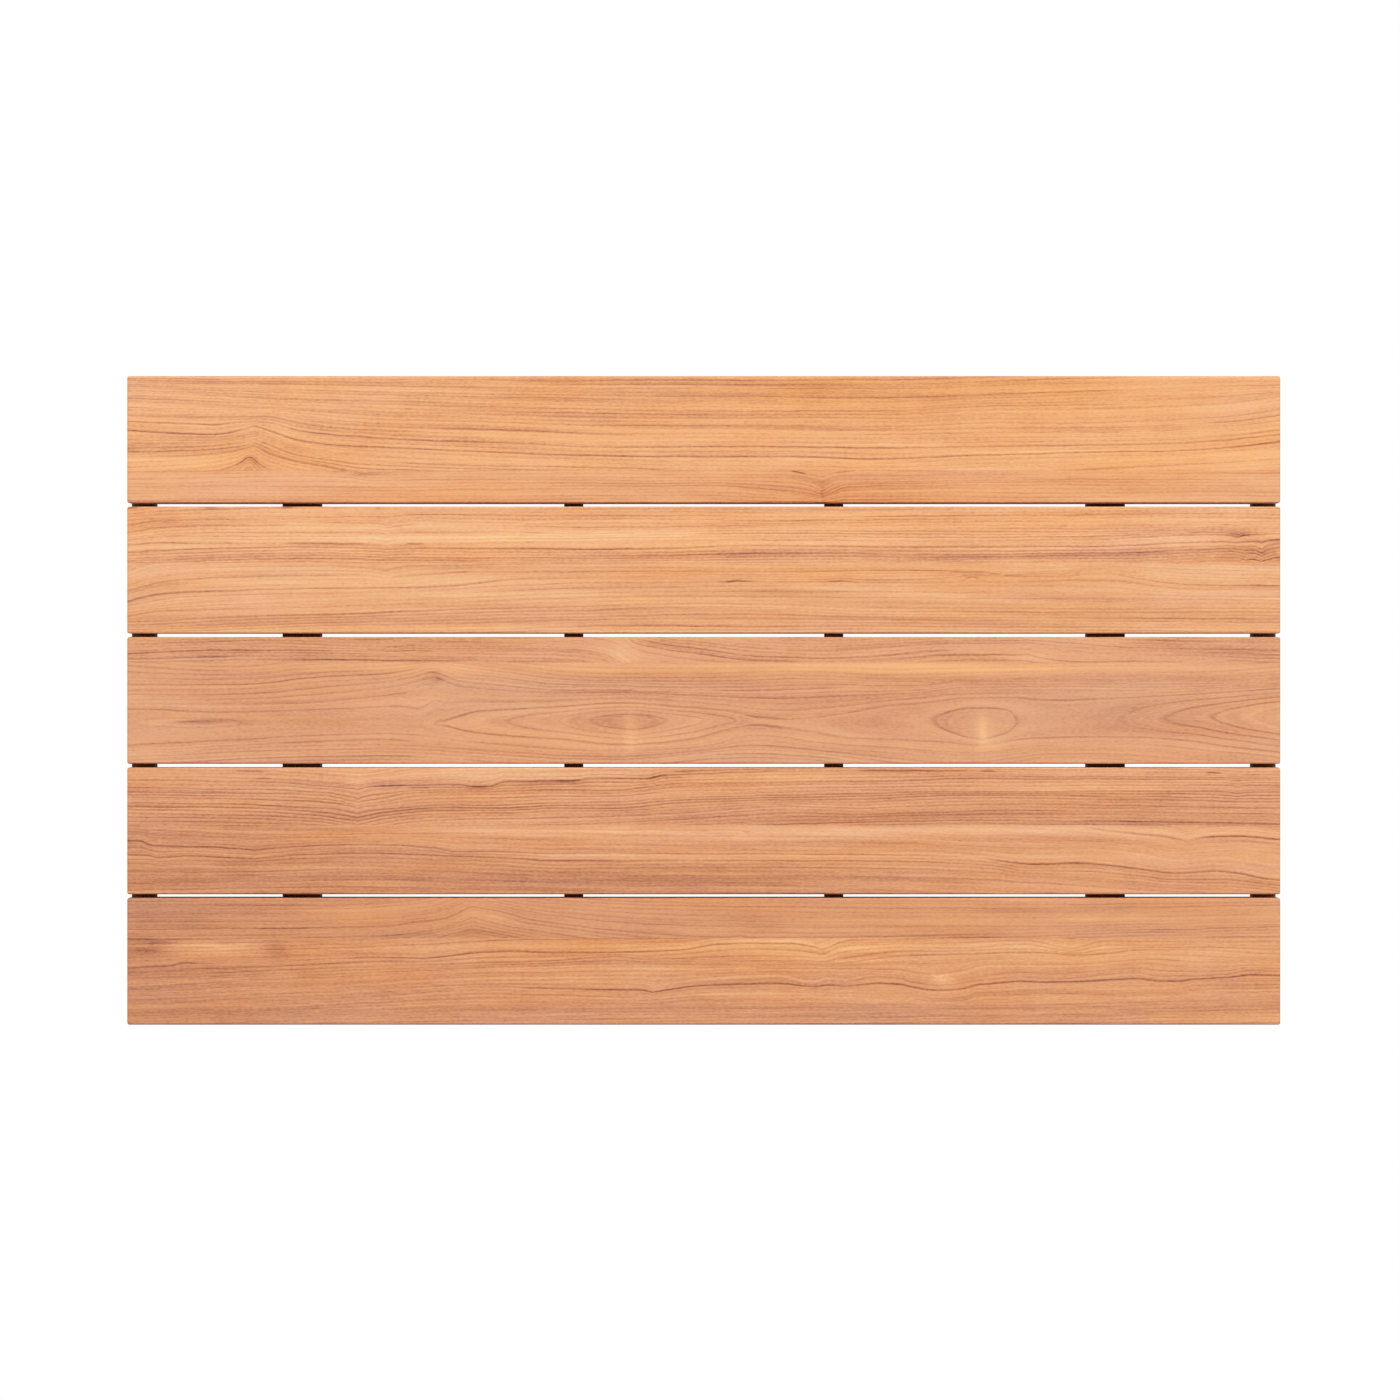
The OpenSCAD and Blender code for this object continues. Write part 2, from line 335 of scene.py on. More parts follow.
def stave(slat, side, colours, guides, kinks=(), marks=(), rings=(), calm=(), patches=(),
          drift=(0.0, 0.0), warmth=()):
    """One stave. x runs along it and `across` is the distance from the slat's back edge, both in
    millimetres. guides and kinks lay out the rings, as in ring_field. The rest is its figure:
    marks (from x, to x, across, strength) darken the ring that passes at the middle of that stretch;
    rings (number, from x, to x, strength) darken a ring by its number;
    calm (x, across, half length, half width, part) fades the lines out over a soft oval;
    patches (x, across, half length, half width, amount) lighten an oval or, below nought, darken it;
    drift lightens the left and the right end, each by its own amount;
    warmth, given like patches, makes an oval more orange."""
    name = f"slat_{slat}_{side}_stave"
    is_back = side == "back"
    rng = np.random.default_rng(100 * slat + is_back)
    low, high = (np.array(corner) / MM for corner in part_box(name))
    back_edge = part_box(f"slat_{slat}_back_stave")[1].y / MM

    x = stations(low[0], high[0], STEP_X)
    y = stations(low[1], high[1], STEP_Y, not is_back, is_back)
    z = stations(low[2], high[2], STEP_Z)
    across = (back_edge - y)[::-1]
    field = ring_field(x, across, guides, kinks, rng)
    slope_x, slope_v = np.gradient(field, x, across)

    (i, j, k), faces = lattice_skin((len(x), len(y), len(z)))
    column = len(y) - 1 - j
    depth = RINGS_PER_MM_DEEP * (high[2] - z[k])
    ring = field[i, column] + depth
    side_face = (i == 0) | (i == len(x) - 1) | (j == 0) | (j == len(y) - 1)
    steep = np.sqrt(slope_x[i, column] ** 2 + slope_v[i, column] ** 2
                    + (RINGS_PER_MM_DEEP * side_face) ** 2)
    ring_mm = np.clip(1 / np.maximum(steep, 1e-3), *RING_MM)

    first = int(np.floor(ring.min())) - 1
    count = int(np.ceil(ring.max())) - first + 2
    rows, at_x = np.arange(count)[:, None], x[None, :]
    strength = FAINT_LINE + LINE_RANGE * rng.uniform(0, 1, (count, 1)) ** 1.3
    strength = strength * (1 + 0.22 * waves(rng, 12, (at_x, 300), (rows * 1.0, 1.5)))
    for start, end, mark_v, amount in marks:
        middle = (max(start, x[0]) + min(end, x[-1])) / 2
        number = field[np.abs(x - middle).argmin(), np.abs(across - mark_v).argmin()]
        rings = (*rings, (int(np.round(number)), start, end, amount))
    for number, start, end, amount in rings:
        row = strength[number - first]
        row[:] = np.maximum(row, amount * window(x, start, end))
    line = strength[np.round(ring).astype(int) - first, i]

    tone_and_arris_shade = 0.03 * waves(rng, 14, (ring, 5.0), (x[i], 500.0))
    tone_and_arris_shade = tone_and_arris_shade + 0.045 * waves(rng, 14, (ring, 1.4), (x[i], 220.0))
    tone_and_arris_shade += np.interp(x[i], [x[0], x[-1]], drift)
    v = across[column]
    for *place, amount in patches:
        tone_and_arris_shade += amount * spot(x[i], v, place)
    # Painted shade: the front arris of each slat is drawn darker, as it faces away from the light
    if not is_back:
        painted_arris_shade_mask = np.clip((v - across[-1] + ARRIS) / ARRIS, 0, 1) * (z[k] > high[2] - 1.5 * ARRIS)
        tone_and_arris_shade -= PAINTED_ARRIS_SHADE * painted_arris_shade_mask
    for *place, amount in calm:
        line *= 1 - amount * spot(x[i], v, place)
    warm = 0.3 * waves(rng, 8, (x[i], 200.0), (v, 30.0))
    for *place, amount in warmth:
        warm += amount * spot(x[i], v, place)

    outer_low, outer_high = low.copy(), high.copy()
    if is_back:
        outer_low[1] -= 2 * CORNER
    else:
        outer_high[1] += 2 * CORNER
    points = round_off(np.stack([x[i], y[j], z[k]], 1), outer_low, outer_high)
    material = oiled_teak(f"oiled_teak_{slat}_{side}", *colours)
    piece = mesh_piece(f"teak_slat_{slat}_{side}_stave", points * MM, faces, material, math.radians(40))
    carried = {"ring": ring, "ring_mm": ring_mm, "line": line, "tone_and_arris_shade": tone_and_arris_shade, "warmth": warm}
    for key, values in carried.items():
        attribute = piece.data.attributes.new(key, "FLOAT", "POINT")
        attribute.data.foreach_set("value", values.astype(np.float32))
    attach(piece, "root")
    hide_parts(name)


# Slat 1: long gentle lines that rise over a grown-over knot near the left end
stave(1, "back", ("#b86c48", "#efa96e", "#ffc88a"),
      guides=[
          (-3, [(-400, -7), (400, -14)]),
          (1, [(-400, 1.5), (-300, 2.2), (-60, 2.8), (130, 2.8), (220, 0.2), (400, -5)]),
          (6, [(-400, 9), (-300, 11.5), (-136, 14.5), (-60, 16.2), (130, 17.8), (200, 15.2), (300, 12),
               (400, 8)]),
          (9, [(-400, 14), (-300, 17.5), (-200, 20.5), (-100, 22.5), (-20, 24), (130, 24), (200, 21),
               (280, 20), (360, 16.5), (400, 12)]),
          (18, [(-400, 32), (-340, 33.5), (-318, 32.5), (-305, 32.5), (-280, 37.5), (-260, 40.5),
                (-220, 43.5), (-140, 46.5), (-60, 49.5), (40, 49), (120, 50), (200, 48.7), (260, 48),
                (320, 46.7), (360, 44.5), (400, 40.5)]),
          (20, [(-400, 37.5), (-340, 40), (-318, 36.5), (-312, 35.5), (-300, 38), (-280, 44.5),
                (-260, 47.5), (-200, 50.3), (-140, 53), (-40, 56), (60, 56), (120, 57.5), (200, 55),
                (290, 52.3), (320, 52), (360, 49.7), (400, 45.5)]),
          (23, [(-400, 47), (-340, 46), (-312, 43), (-280, 53), (-220, 59.5), (-180, 61.5),
                (-100, 62.8), (-20, 64.5), (120, 66), (200, 63.5), (300, 60), (400, 54)]),
          (25, [(-400, 53), (-350, 51.5), (-320, 49), (-312, 48), (-300, 51.5), (-280, 57),
                (-260, 60.5), (-235, 64.5), (-100, 68), (120, 72), (300, 66.5), (400, 61)]),
          (30, [(-400, 70), (-345, 67), (-329, 63.5), (-320.5, 59.6), (-316.5, 57.2), (-315, 57.2),
                (-311, 60), (-303, 64.5), (-280, 72), (-200, 80), (400, 80)]),
      ],
      kinks=[(-312, 50, -2.0, 6, 22)],
      marks=[(-430, 430, 48, 0.7), (-430, -322, 33, 1.2), (-300, 430, 49.3, 1.0), (-430, 430, 56, 1.25),
             (-430, -322, 39, 1.3), (-430, -305, 51, 0.9), (-305, -235, 60, 0.8),
             (-220, -20, 62.5, 0.8), (-420, 230, 2.7, 0.7), (-60, 130, 2.8, 1.0),
             (-400, 300, 22.5, 0.7), (-300, 300, 33, 0.6), (-140, 300, 16.3, 0.7), (-200, 300, 40, 0.6),
             (-195, -170, 12.5, 1.0), (-210, -200, 24, 1.0), (-210, -202, 12.5, 0.8),
             (345, 430, 32, 1.0), (300, 345, 36, 0.7), (360, 370, 6.5, 0.8), (200, 430, 52, 0.7)],
      rings=[(30, -331, -302, 1.3), (25, -313, -296, 1.0), (31, -320, -308, 0.7)],
      calm=[(-315, 41, 7, 8, 0.8), (-100, 12, 500, 14, 0.25), (0, 33, 900, 60, 0.2)],
      patches=[(-312, 61, 6, 4, -0.05), (60, 10, 160, 13, -0.14), (100, 32, 200, 10, -0.04),
               (350, 55, 80, 8, 0.12), (-60, 32, 60, 8, -0.07), (-350, 50, 60, 10, -0.06),
               (-345, 57, 22, 7, 0.12), (-290, 40, 16, 10, 0.08), (-380, 60, 30, 5, 0.1)],
      drift=(-0.06, 0.015),
      warmth=[(-400, 20, 180, 40, -0.9), (-320, 60, 100, 20, 0.3), (180, 12, 130, 22, 0.7)])

stave(1, "front", ("#c4764c", "#eaa46e", "#f6c08a"),
      guides=[
          (-2, [(-400, 60), (-235, 64), (-200, 61), (0, 60), (400, 60)]),
          (0, [(-400, 64.5), (-280, 64), (-245, 66), (-235, 67.5), (-200, 66.5), (-100, 65.5),
               (57, 65.6), (74, 68.6), (82, 69.5), (90, 67.2), (108, 65.2), (400, 65)]),
          (2, [(-400, 69), (-280, 66.8), (-245, 68.6), (-235, 71), (-200, 70), (0, 70.5), (57, 71),
               (72, 73), (82, 75), (95, 72), (250, 70), (400, 69.5)]),
          (5, [(-400, 77), (-235, 77), (0, 76), (40, 78), (70, 81), (82, 82.5), (100, 77), (136, 76),
               (400, 76)]),
          (8, [(-400, 84), (0, 83), (70, 85.5), (82, 86.5), (100, 84), (400, 83)]),
          (12, [(-400, 93), (400, 93)]),
      ],
      kinks=[(82, 78, 2.5, 3, 8)],
      marks=[(-285, -190, 69, 0.7), (-246, -225, 68, 0.7), (58, 74, 68, 1.3), (87, 110, 66, 1.3),
             (0, 70, 78, 0.7), (100, 140, 76, 0.6), (270, 286, 82.5, 0.8), (76, 90, 80, 0.7),
             (-430, 430, 72.5, 0.5)],
      patches=[(-237, 68.5, 16, 2, -0.16), (82.4, 80, 1.2, 6, -0.14), (82, 78, 9, 8, -0.03),
               (60, 70, 30, 6, -0.1), (-100, 82, 200, 5, -0.05), (100, 78, 70, 9, -0.14),
               (-350, 78, 80, 9, -0.06)],
      drift=(0.03, 0.0),
      warmth=[(-400, 77, 150, 20, -0.9), (100, 80, 160, 20, 1.0), (-150, 77, 80, 20, -0.4),
              (400, 77, 60, 20, -0.4)])

# Slat 2: close parallel lines, a dark flecked ring in the back stave and a knot at its right end
stave(2, "back", ("#b66c4c", "#eeaa75", "#fccd97"),
      guides=[
          (-2, [(-400, 0), (-370, -5), (-300, -7), (400, -7)]),
          (1, [(-400, 5), (-370, 3), (-340, 2), (-280, 1.5), (0, 2), (400, 1)]),
          (3, [(-400, 10), (-370, 8.5), (-340, 7.5), (-222, 7.5), (-200, 6), (0, 7), (130, 7), (340, 5),
               (400, 5)]),
          (5, [(-400, 16), (-380, 12.5), (-340, 11), (-280, 11), (-222, 12), (-200, 10.5), (-100, 12),
               (400, 10)]),
          (7, [(-400, 20.5), (-380, 18), (-340, 16), (-136, 15.5), (-80, 17), (0, 15.5), (40, 14.7),
               (130, 15.5), (300, 15), (400, 14)]),
          (11, [(-400, 26.5), (-380, 25), (-280, 25.2), (-200, 25.6), (0, 23.5), (260, 23.6), (340, 20),
                (400, 19)]),
          (12, [(-400, 31.5), (-380, 30), (-280, 28), (-220, 29), (-60, 29.5), (0, 28), (40, 27.2),
                (120, 28), (260, 28.2), (300, 27), (340, 25), (380, 24), (400, 23)]),
          (17, [(-400, 41), (-300, 39), (0, 39.5), (300, 38), (370, 35), (387, 36), (400, 35)]),
          (22, [(-400, 51), (0, 49.5), (300, 48), (400, 45)]),
      ],
      kinks=[(387, 32, 3.2, 4, 9), (376, 36, 2.0, 4, 8), (-220, 20, 1.6, 5, 14), (370, 19, 2.5, 6, 7)],
      marks=[(-430, 430, 29.3, 0.75), (-300, -225, 25.4, 0.85), (-395, -380, 26, 0.9),
             (-335, -325, 25.2, 0.9), (-210, -190, 25.6, 1.0), (-225, -195, 12.5, 0.8),
             (-140, 45, 15.5, 0.6), (-430, -280, 12, 0.6), (-430, -300, 8, 0.5), (382, 430, 23.5, 1.1),
             (358, 384, 20, 0.9), (368, 384, 22, 0.9), (334, 346, 18, 0.9), (358, 368, 12, 0.8),
             (366, 430, 30, 0.7), (366, 430, 33, 0.7), (366, 430, 37, 0.9), (150, 430, 27, 0.7),
             (150, 430, 31, 0.6), (245, 255, 12, 0.9), (-430, 430, 33, 0.55), (-430, 430, 36, 0.5),
             (60, 300, 28, 0.7), (-124, -116, 25, 0.8), (-54, -46, 27, 0.8), (76, 84, 24, 0.8)],
      patches=[(-342, 0.6, 6, 0.9, -0.35), (-290, 0.6, 4, 1.2, -0.35), (-225, 1.2, 3, 1.2, -0.15),
               (-396, 1, 5, 0.9, -0.3), (-260, 25.5, 60, 1.6, -0.2), (-200, 21.5, 190, 3, 0.2),
               (100, 35, 500, 5, -0.14), (374, 21, 16, 3, -0.12), (392, 24, 12, 1.5, -0.14),
               (392, 17, 14, 3, 0.15), (380, 32, 24, 6, -0.1), (-60, 20, 80, 4, 0.12),
               (250, 19, 60, 4, 0.1), (360, 19, 40, 6, -0.06), (-370, 32, 50, 5, -0.05),
               (330, 33, 90, 6, -0.08), (150, 29, 150, 3, -0.06), (200, 6, 200, 6, -0.04),
               (-370, 16, 40, 14, -0.12), (0, 32, 90, 5, -0.06)],
      drift=(0.02, 0.0),
      warmth=[(50, 8, 200, 8, 0.9), (50, 26, 260, 10, 0.2)])

stave(2, "front", ("#be7650", "#e8a572", "#fac690"),
      guides=[
          (0, [(-400, 45), (-380, 39), (-320, 36), (-222, 37), (0, 36), (245, 40), (275, 38), (340, 40),
               (400, 41)]),
          (2, [(-400, 51), (-380, 45), (-360, 43), (-320, 41.5), (-260, 41), (-222, 43), (-200, 41),
               (-100, 40.3), (130, 41), (210, 43), (275, 41), (340, 44), (400, 45)]),
          (4, [(-400, 58), (-370, 51.5), (-340, 49.5), (-280, 47.5), (-240, 47.5), (-220, 48.7),
               (-160, 45.5), (40, 45.5), (130, 44.4), (190, 45), (210, 47), (245, 46), (275, 43.5),
               (305, 46.5), (340, 49), (400, 50)]),
          (7, [(-400, 66), (-390, 63), (-380, 61), (-360, 59.3), (-320, 58.5), (-260, 57), (-200, 56),
               (-175, 55), (-160, 53.5), (-128, 50.3), (-100, 49.8), (0, 50.8), (100, 51), (176, 50),
               (186, 48.5), (245, 48.2), (275, 45.8), (305, 50.5), (340, 54), (400, 55)]),
          (8, [(-400, 69), (-360, 62.5), (-200, 59), (-136, 55), (-60, 52.7), (200, 52.5), (275, 51),
               (340, 57), (400, 57.7)]),
          (9, [(-400, 71.5), (-340, 65.5), (-260, 63), (-200, 61.5), (-136, 58.5), (-60, 56),
               (60, 55.2), (275, 56), (340, 60), (400, 60.5)]),
          (11, [(-400, 76), (-380, 73), (-300, 70), (-200, 67.5), (-100, 64), (0, 62), (110, 63),
                (400, 65)]),
          (13, [(-400, 80), (-300, 75.5), (-200, 73), (-100, 70), (0, 67.5), (40, 67.5), (110, 70),
                (400, 71)]),
          (17, [(-400, 87.5), (-200, 81.5), (0, 78), (200, 79), (400, 80)]),
          (22, [(-400, 98), (0, 90), (400, 91)]),
      ],
      kinks=[(-220, 46, 1.6, 4, 8), (24, 50, -1.4, 9, 2), (96, 50, -1.4, 9, 2),
             (186, 49.6, -4.4, 11, 2.2)],
      marks=[(-430, -130, 58, 0.95), (-225, -150, 47.5, 0.8), (-430, -200, 62, 0.55),
             (40, 290, 52.6, 0.55), (5, 43, 50.2, 1.2), (78, 114, 50.2, 1.2), (170, 203, 48, 1.2),
             (12, 36, 52.5, 0.9), (84, 108, 52.5, 0.9), (178, 196, 51, 0.9), (290, 430, 54, 0.7),
             (370, 430, 55, 1.0), (-100, 110, 68, 0.6), (-140, 60, 56, 0.55), (-350, -200, 42, 0.5),
             (250, 275, 46, 0.6), (-430, 430, 75, 0.5), (-430, 430, 79, 0.5), (-100, 430, 71.5, 0.5)],
      patches=[(-240, 52, 120, 4, 0.2), (-330, 62, 50, 2, 0.08), (0, 86.5, 500, 2.5, 0.12),
               (-300, 80, 120, 7, -0.08), (-372, 54, 12, 3, -0.1), (60, 42, 200, 3, 0.03),
               (265, 45, 60, 6, 0.12), (355, 47, 50, 4, 0.12), (0, 79, 400, 6, -0.06),
               (250, 50, 60, 7, -0.1), (-380, 62, 40, 8, -0.08), (-350, 47, 50, 5, 0.08),
               (250, 64, 70, 6, -0.1), (0, 80, 450, 6, -0.07)],
      drift=(0.0, 0.02),
      warmth=[(150, 48, 130, 9, 0.7), (-60, 48, 60, 9, 0.3)])

# Slat 3: the plainer and browner board, with two eyes where the cut grazes the tops of the rings
stave(3, "back", ("#ae6848", "#e3a173", "#f2ba8a"),
      guides=[
          (-11, [(-400, -22), (-60, -30), (-50, -17), (0, -9), (80, -3), (225, -9), (300, -5),
                 (400, -3)]),
          (-7, [(-400, -13), (-75, -20), (-60, -20), (-49, -8), (0, -0.5), (80, 5), (180, 0.5),
                (225, 0), (300, 4.5), (400, 7)]),
          (-3, [(-400, -5), (-300, -6), (-75, -12), (-60, -11), (-48, 1), (0, 9), (40, 13.5),
                (80, 14.5), (120, 13), (180, 9), (215, 9.5), (255, 14), (330, 15), (400, 18)]),
          (2, [(-400, 8), (-340, 5.5), (-300, 4.5), (-225, 7), (-190, 5.5), (-130, 7), (-90, 7.5),
               (-70, 10), (-58, 15), (-45, 22), (0, 26), (400, 30)]),
          (4, [(-400, 11.5), (-340, 9.5), (-300, 9.5), (-225, 10.5), (-190, 9.5), (-130, 10), (-90, 11),
               (-70, 13.5), (-60, 18), (-45, 28), (400, 36)]),
          (6, [(-400, 15.5), (-325, 13.5), (-200, 14), (-100, 15.5), (-70, 19), (-60, 24), (-45, 33),
               (400, 42)]),
          (10, [(-400, 24), (-100, 25), (-60, 33), (-45, 42), (400, 52)]),
      ],
      kinks=[(225, 9, -2.0, 6, 7), (-187, 8, 1.0, 5, 6)],
      marks=[(-430, -250, 9.7, 0.9), (-430, -320, 14, 0.8), (-230, -180, 10.3, 0.9),
             (-230, -190, 6, 0.7), (-165, -128, 6.6, 0.6), (-50, 180, 13, 0.7), (210, 260, 12, 0.6),
             (300, 370, 4, 0.6), (-45, 60, 4, 0.6)],
      patches=[(-55, 8, 10, 8, 0.2), (-50, 14, 20, 4, 0.1), (225, 14, 22, 4, 0.25),
               (380, 9, 30, 9, -0.12), (-330, 9, 60, 6, -0.1), (330, 5, 30, 5, -0.1),
               (275, 4, 30, 4, 0.1), (-150, 8, 60, 6, -0.08)],
      drift=(-0.04, -0.06),
      warmth=[(0, 8, 250, 10, 0.3)])

EYES = [(-400, 12), (-375, 12.2), (-350, 12.6), (-320, 12.0), (-300, 11.8), (-200, 11.8), (-182, 12.1),
        (-136, 13), (-100, 14), (-78, 15), (-48, 15.8), (-27, 15), (0, 14), (22, 13), (38, 12.15),
        (75, 12.15), (108, 12.5), (150, 12.75), (160, 13.0), (172, 13.4), (183, 13.8), (193, 13.9),
        (203, 13.7), (211, 13.4), (217, 13.0), (235, 12.6), (255, 12.6), (285, 12.9), (320, 14),
        (353, 15), (400, 16.6)]
SHOULDER = [(-400, 11.5), (-200, 11.5), (-182, 12), (400, 12)]
stave(3, "front", ("#b67050", "#df9e71", "#f4b882"),
      guides=[
          (0, [(-400, 12), (-340, 15), (-280, 12), (-220, 11), (-187, 11), (-160, 12), (-100, 17),
               (0, 18), (136, 18.5), (280, 17), (400, 14)]),
          (3, [(-400, 20), (-340, 23), (-320, 23.5), (-280, 20), (-220, 17.5), (-187, 16.5),
               (-160, 19.5), (-136, 22.5), (-100, 26.5), (-60, 28.5), (0, 28), (60, 27), (136, 29),
               (170, 27.7), (200, 26.5), (280, 26), (320, 27), (360, 26.3), (400, 23.5)]),
          (7, [(-400, 37.5), (-330, 36), (-300, 35), (-280, 32.5), (-260, 30.5), (-220, 28),
               (-200, 24.5), (-190, 22), (-180, 24), (-170, 28.5), (-140, 31), (-100, 34.7), (-60, 35),
               (-40, 36.5), (40, 37), (100, 35.3), (150, 35), (180, 31.5), (250, 31), (400, 30)]),
          (10, [(-400, 47), (-300, 46.5), (-270, 45.5), (-230, 41), (-195, 36.5), (-187, 35),
                (-175, 38), (-140, 41), (-60, 40), (0, 43), (60, 46), (100, 44), (150, 40), (183, 37.5),
                (280, 37), (400, 33.5)]),
          (SHOULDER, [(-400, 53), (-320, 54.5), (-220, 54), (-182, 58), (-168, 54.5), (-155, 51.5),
                      (-130, 50), (-100, 48), (-60, 46), (-20, 48.5), (0, 49.5), (20, 51.5), (38, 55.5),
                      (60, 56.5), (80, 55.3), (96, 53.3), (130, 47.5), (150, 46), (183, 42.7),
                      (205, 42.3), (240, 43.8), (280, 42.5), (340, 39.5), (400, 36)]),
          (EYES, [(-400, 60), (-320, 59.5), (-182, 59.7), (-100, 58), (0, 58), (38, 58.3), (108, 58.7),
                  (160, 58), (193, 62), (217, 59), (250, 58.5), (320, 57), (353, 55.5), (400, 55)]),
          (SHOULDER, [(-400, 67), (-320, 64), (-220, 62.5), (-182, 61), (-165, 65), (-130, 69),
                      (-100, 71), (-62, 74), (-38, 73.5), (-5, 70), (15, 64), (35, 60.5), (55, 62.5),
                      (80, 67), (100, 70), (136, 71.5), (170, 73), (182, 74.5), (204, 73.5),
                      (215, 71.5), (240, 70), (300, 69.5), (340, 72), (360, 75), (400, 80)]),
          (11, [(-400, 75), (-360, 73), (-310, 70.5), (-270, 68), (-225, 67), (-190, 69), (-165, 72),
                (-130, 75), (-62, 79), (0, 76), (35, 68), (80, 73), (136, 77), (182, 80), (240, 75),
                (300, 74.5), (360, 79), (400, 84)]),
          (8, [(-400, 83), (-225, 77), (-165, 80), (-62, 85), (35, 78), (182, 90), (240, 84),
               (400, 92)]),
          (3, [(-400, 95), (-225, 90), (-62, 97), (35, 92), (182, 100), (400, 104)]),
      ],
      kinks=[(193, 66, 2.5, 6, 8), (-187, 30, -1.0, 4, 10), (-48, 68, 1.5, 5, 8)],
      marks=[(-430, -190, 30, 0.85), (-175, 180, 35.5, 0.7), (0, 100, 36.5, 0.9),
             (-300, -195, 43, 0.75), (-155, -128, 24, 0.7), (-140, 400, 28, 0.35),
             (-430, -320, 23, 0.5), (-182, 30, 46.5, 0.65), (-115, -85, 49, 0.9), (-182, 36, 72.5, 0.8),
             (20, 66, 61, 1.05), (66, 184, 71.5, 0.75), (96, 430, 43, 0.75), (205, 265, 43, 1.0),
             (204, 430, 70, 0.75), (-370, -185, 67.5, 0.7), (-395, -320, 30.8, 0.7),
             (320, 430, 62, 0.6), (384, 392, 71.5, 0.9), (-430, 430, 80, 0.5)],
      calm=[(275, 58, 40, 10, 0.85), (194, 66, 12, 6, 0.6), (-50, 59, 16, 4, 0.4)],
      rings=[(12, -192, -110, 1.1), (13, -140, 24, 0.8), (14, -105, 5, 0.8), (15, -82, -22, 0.7),
             (13, 155, 222, 1.0), (14, 316, 430, 0.8), (15, 350, 430, 0.7)],
      patches=[(130, 20.8, 250, 4.2, 0.34), (130, 30, 250, 2.5, -0.07), (-250, 21, 60, 4, 0.2),
               (-51, 66, 4, 14, 0.16), (-62, 58, 8, 4, -0.08), (-38, 57, 9, 5, -0.1),
               (-187, 24.5, 4, 1, -0.25), (-184, 29, 3, 2.5, -0.18), (-190, 33, 6, 1, -0.14),
               (-357, 59, 10, 0.8, -0.3), (-340, 58.2, 16, 1.1, -0.26), (60, 40, 260, 9, -0.05),
               (60, 57, 400, 10, -0.06), (197.5, 64, 1.6, 7, -0.12), (194, 65, 4.5, 10, 0.34),
               (62, 55.5, 16, 1.6, 0.1), (60, 60, 60, 9, -0.07), (200, 75, 10, 5, 0.15),
               (-187, 27, 7, 5, -0.1), (-178, 22, 14, 4, 0.12), (-48, 72, 8, 5, 0.08),
               (-345, 59.5, 28, 2.5, -0.16), (-320, 82, 130, 8, 0.04), (180, 60, 30, 14, -0.06),
               (340, 60, 60, 12, -0.05), (150, 57, 170, 10, -0.04)],
      drift=(-0.03, 0.0),
      warmth=[(60, 22.5, 180, 5, 1.2), (-380, 58, 60, 12, -0.6), (200, 58, 160, 14, -0.4),
              (-230, 78, 90, 10, 0.5)])

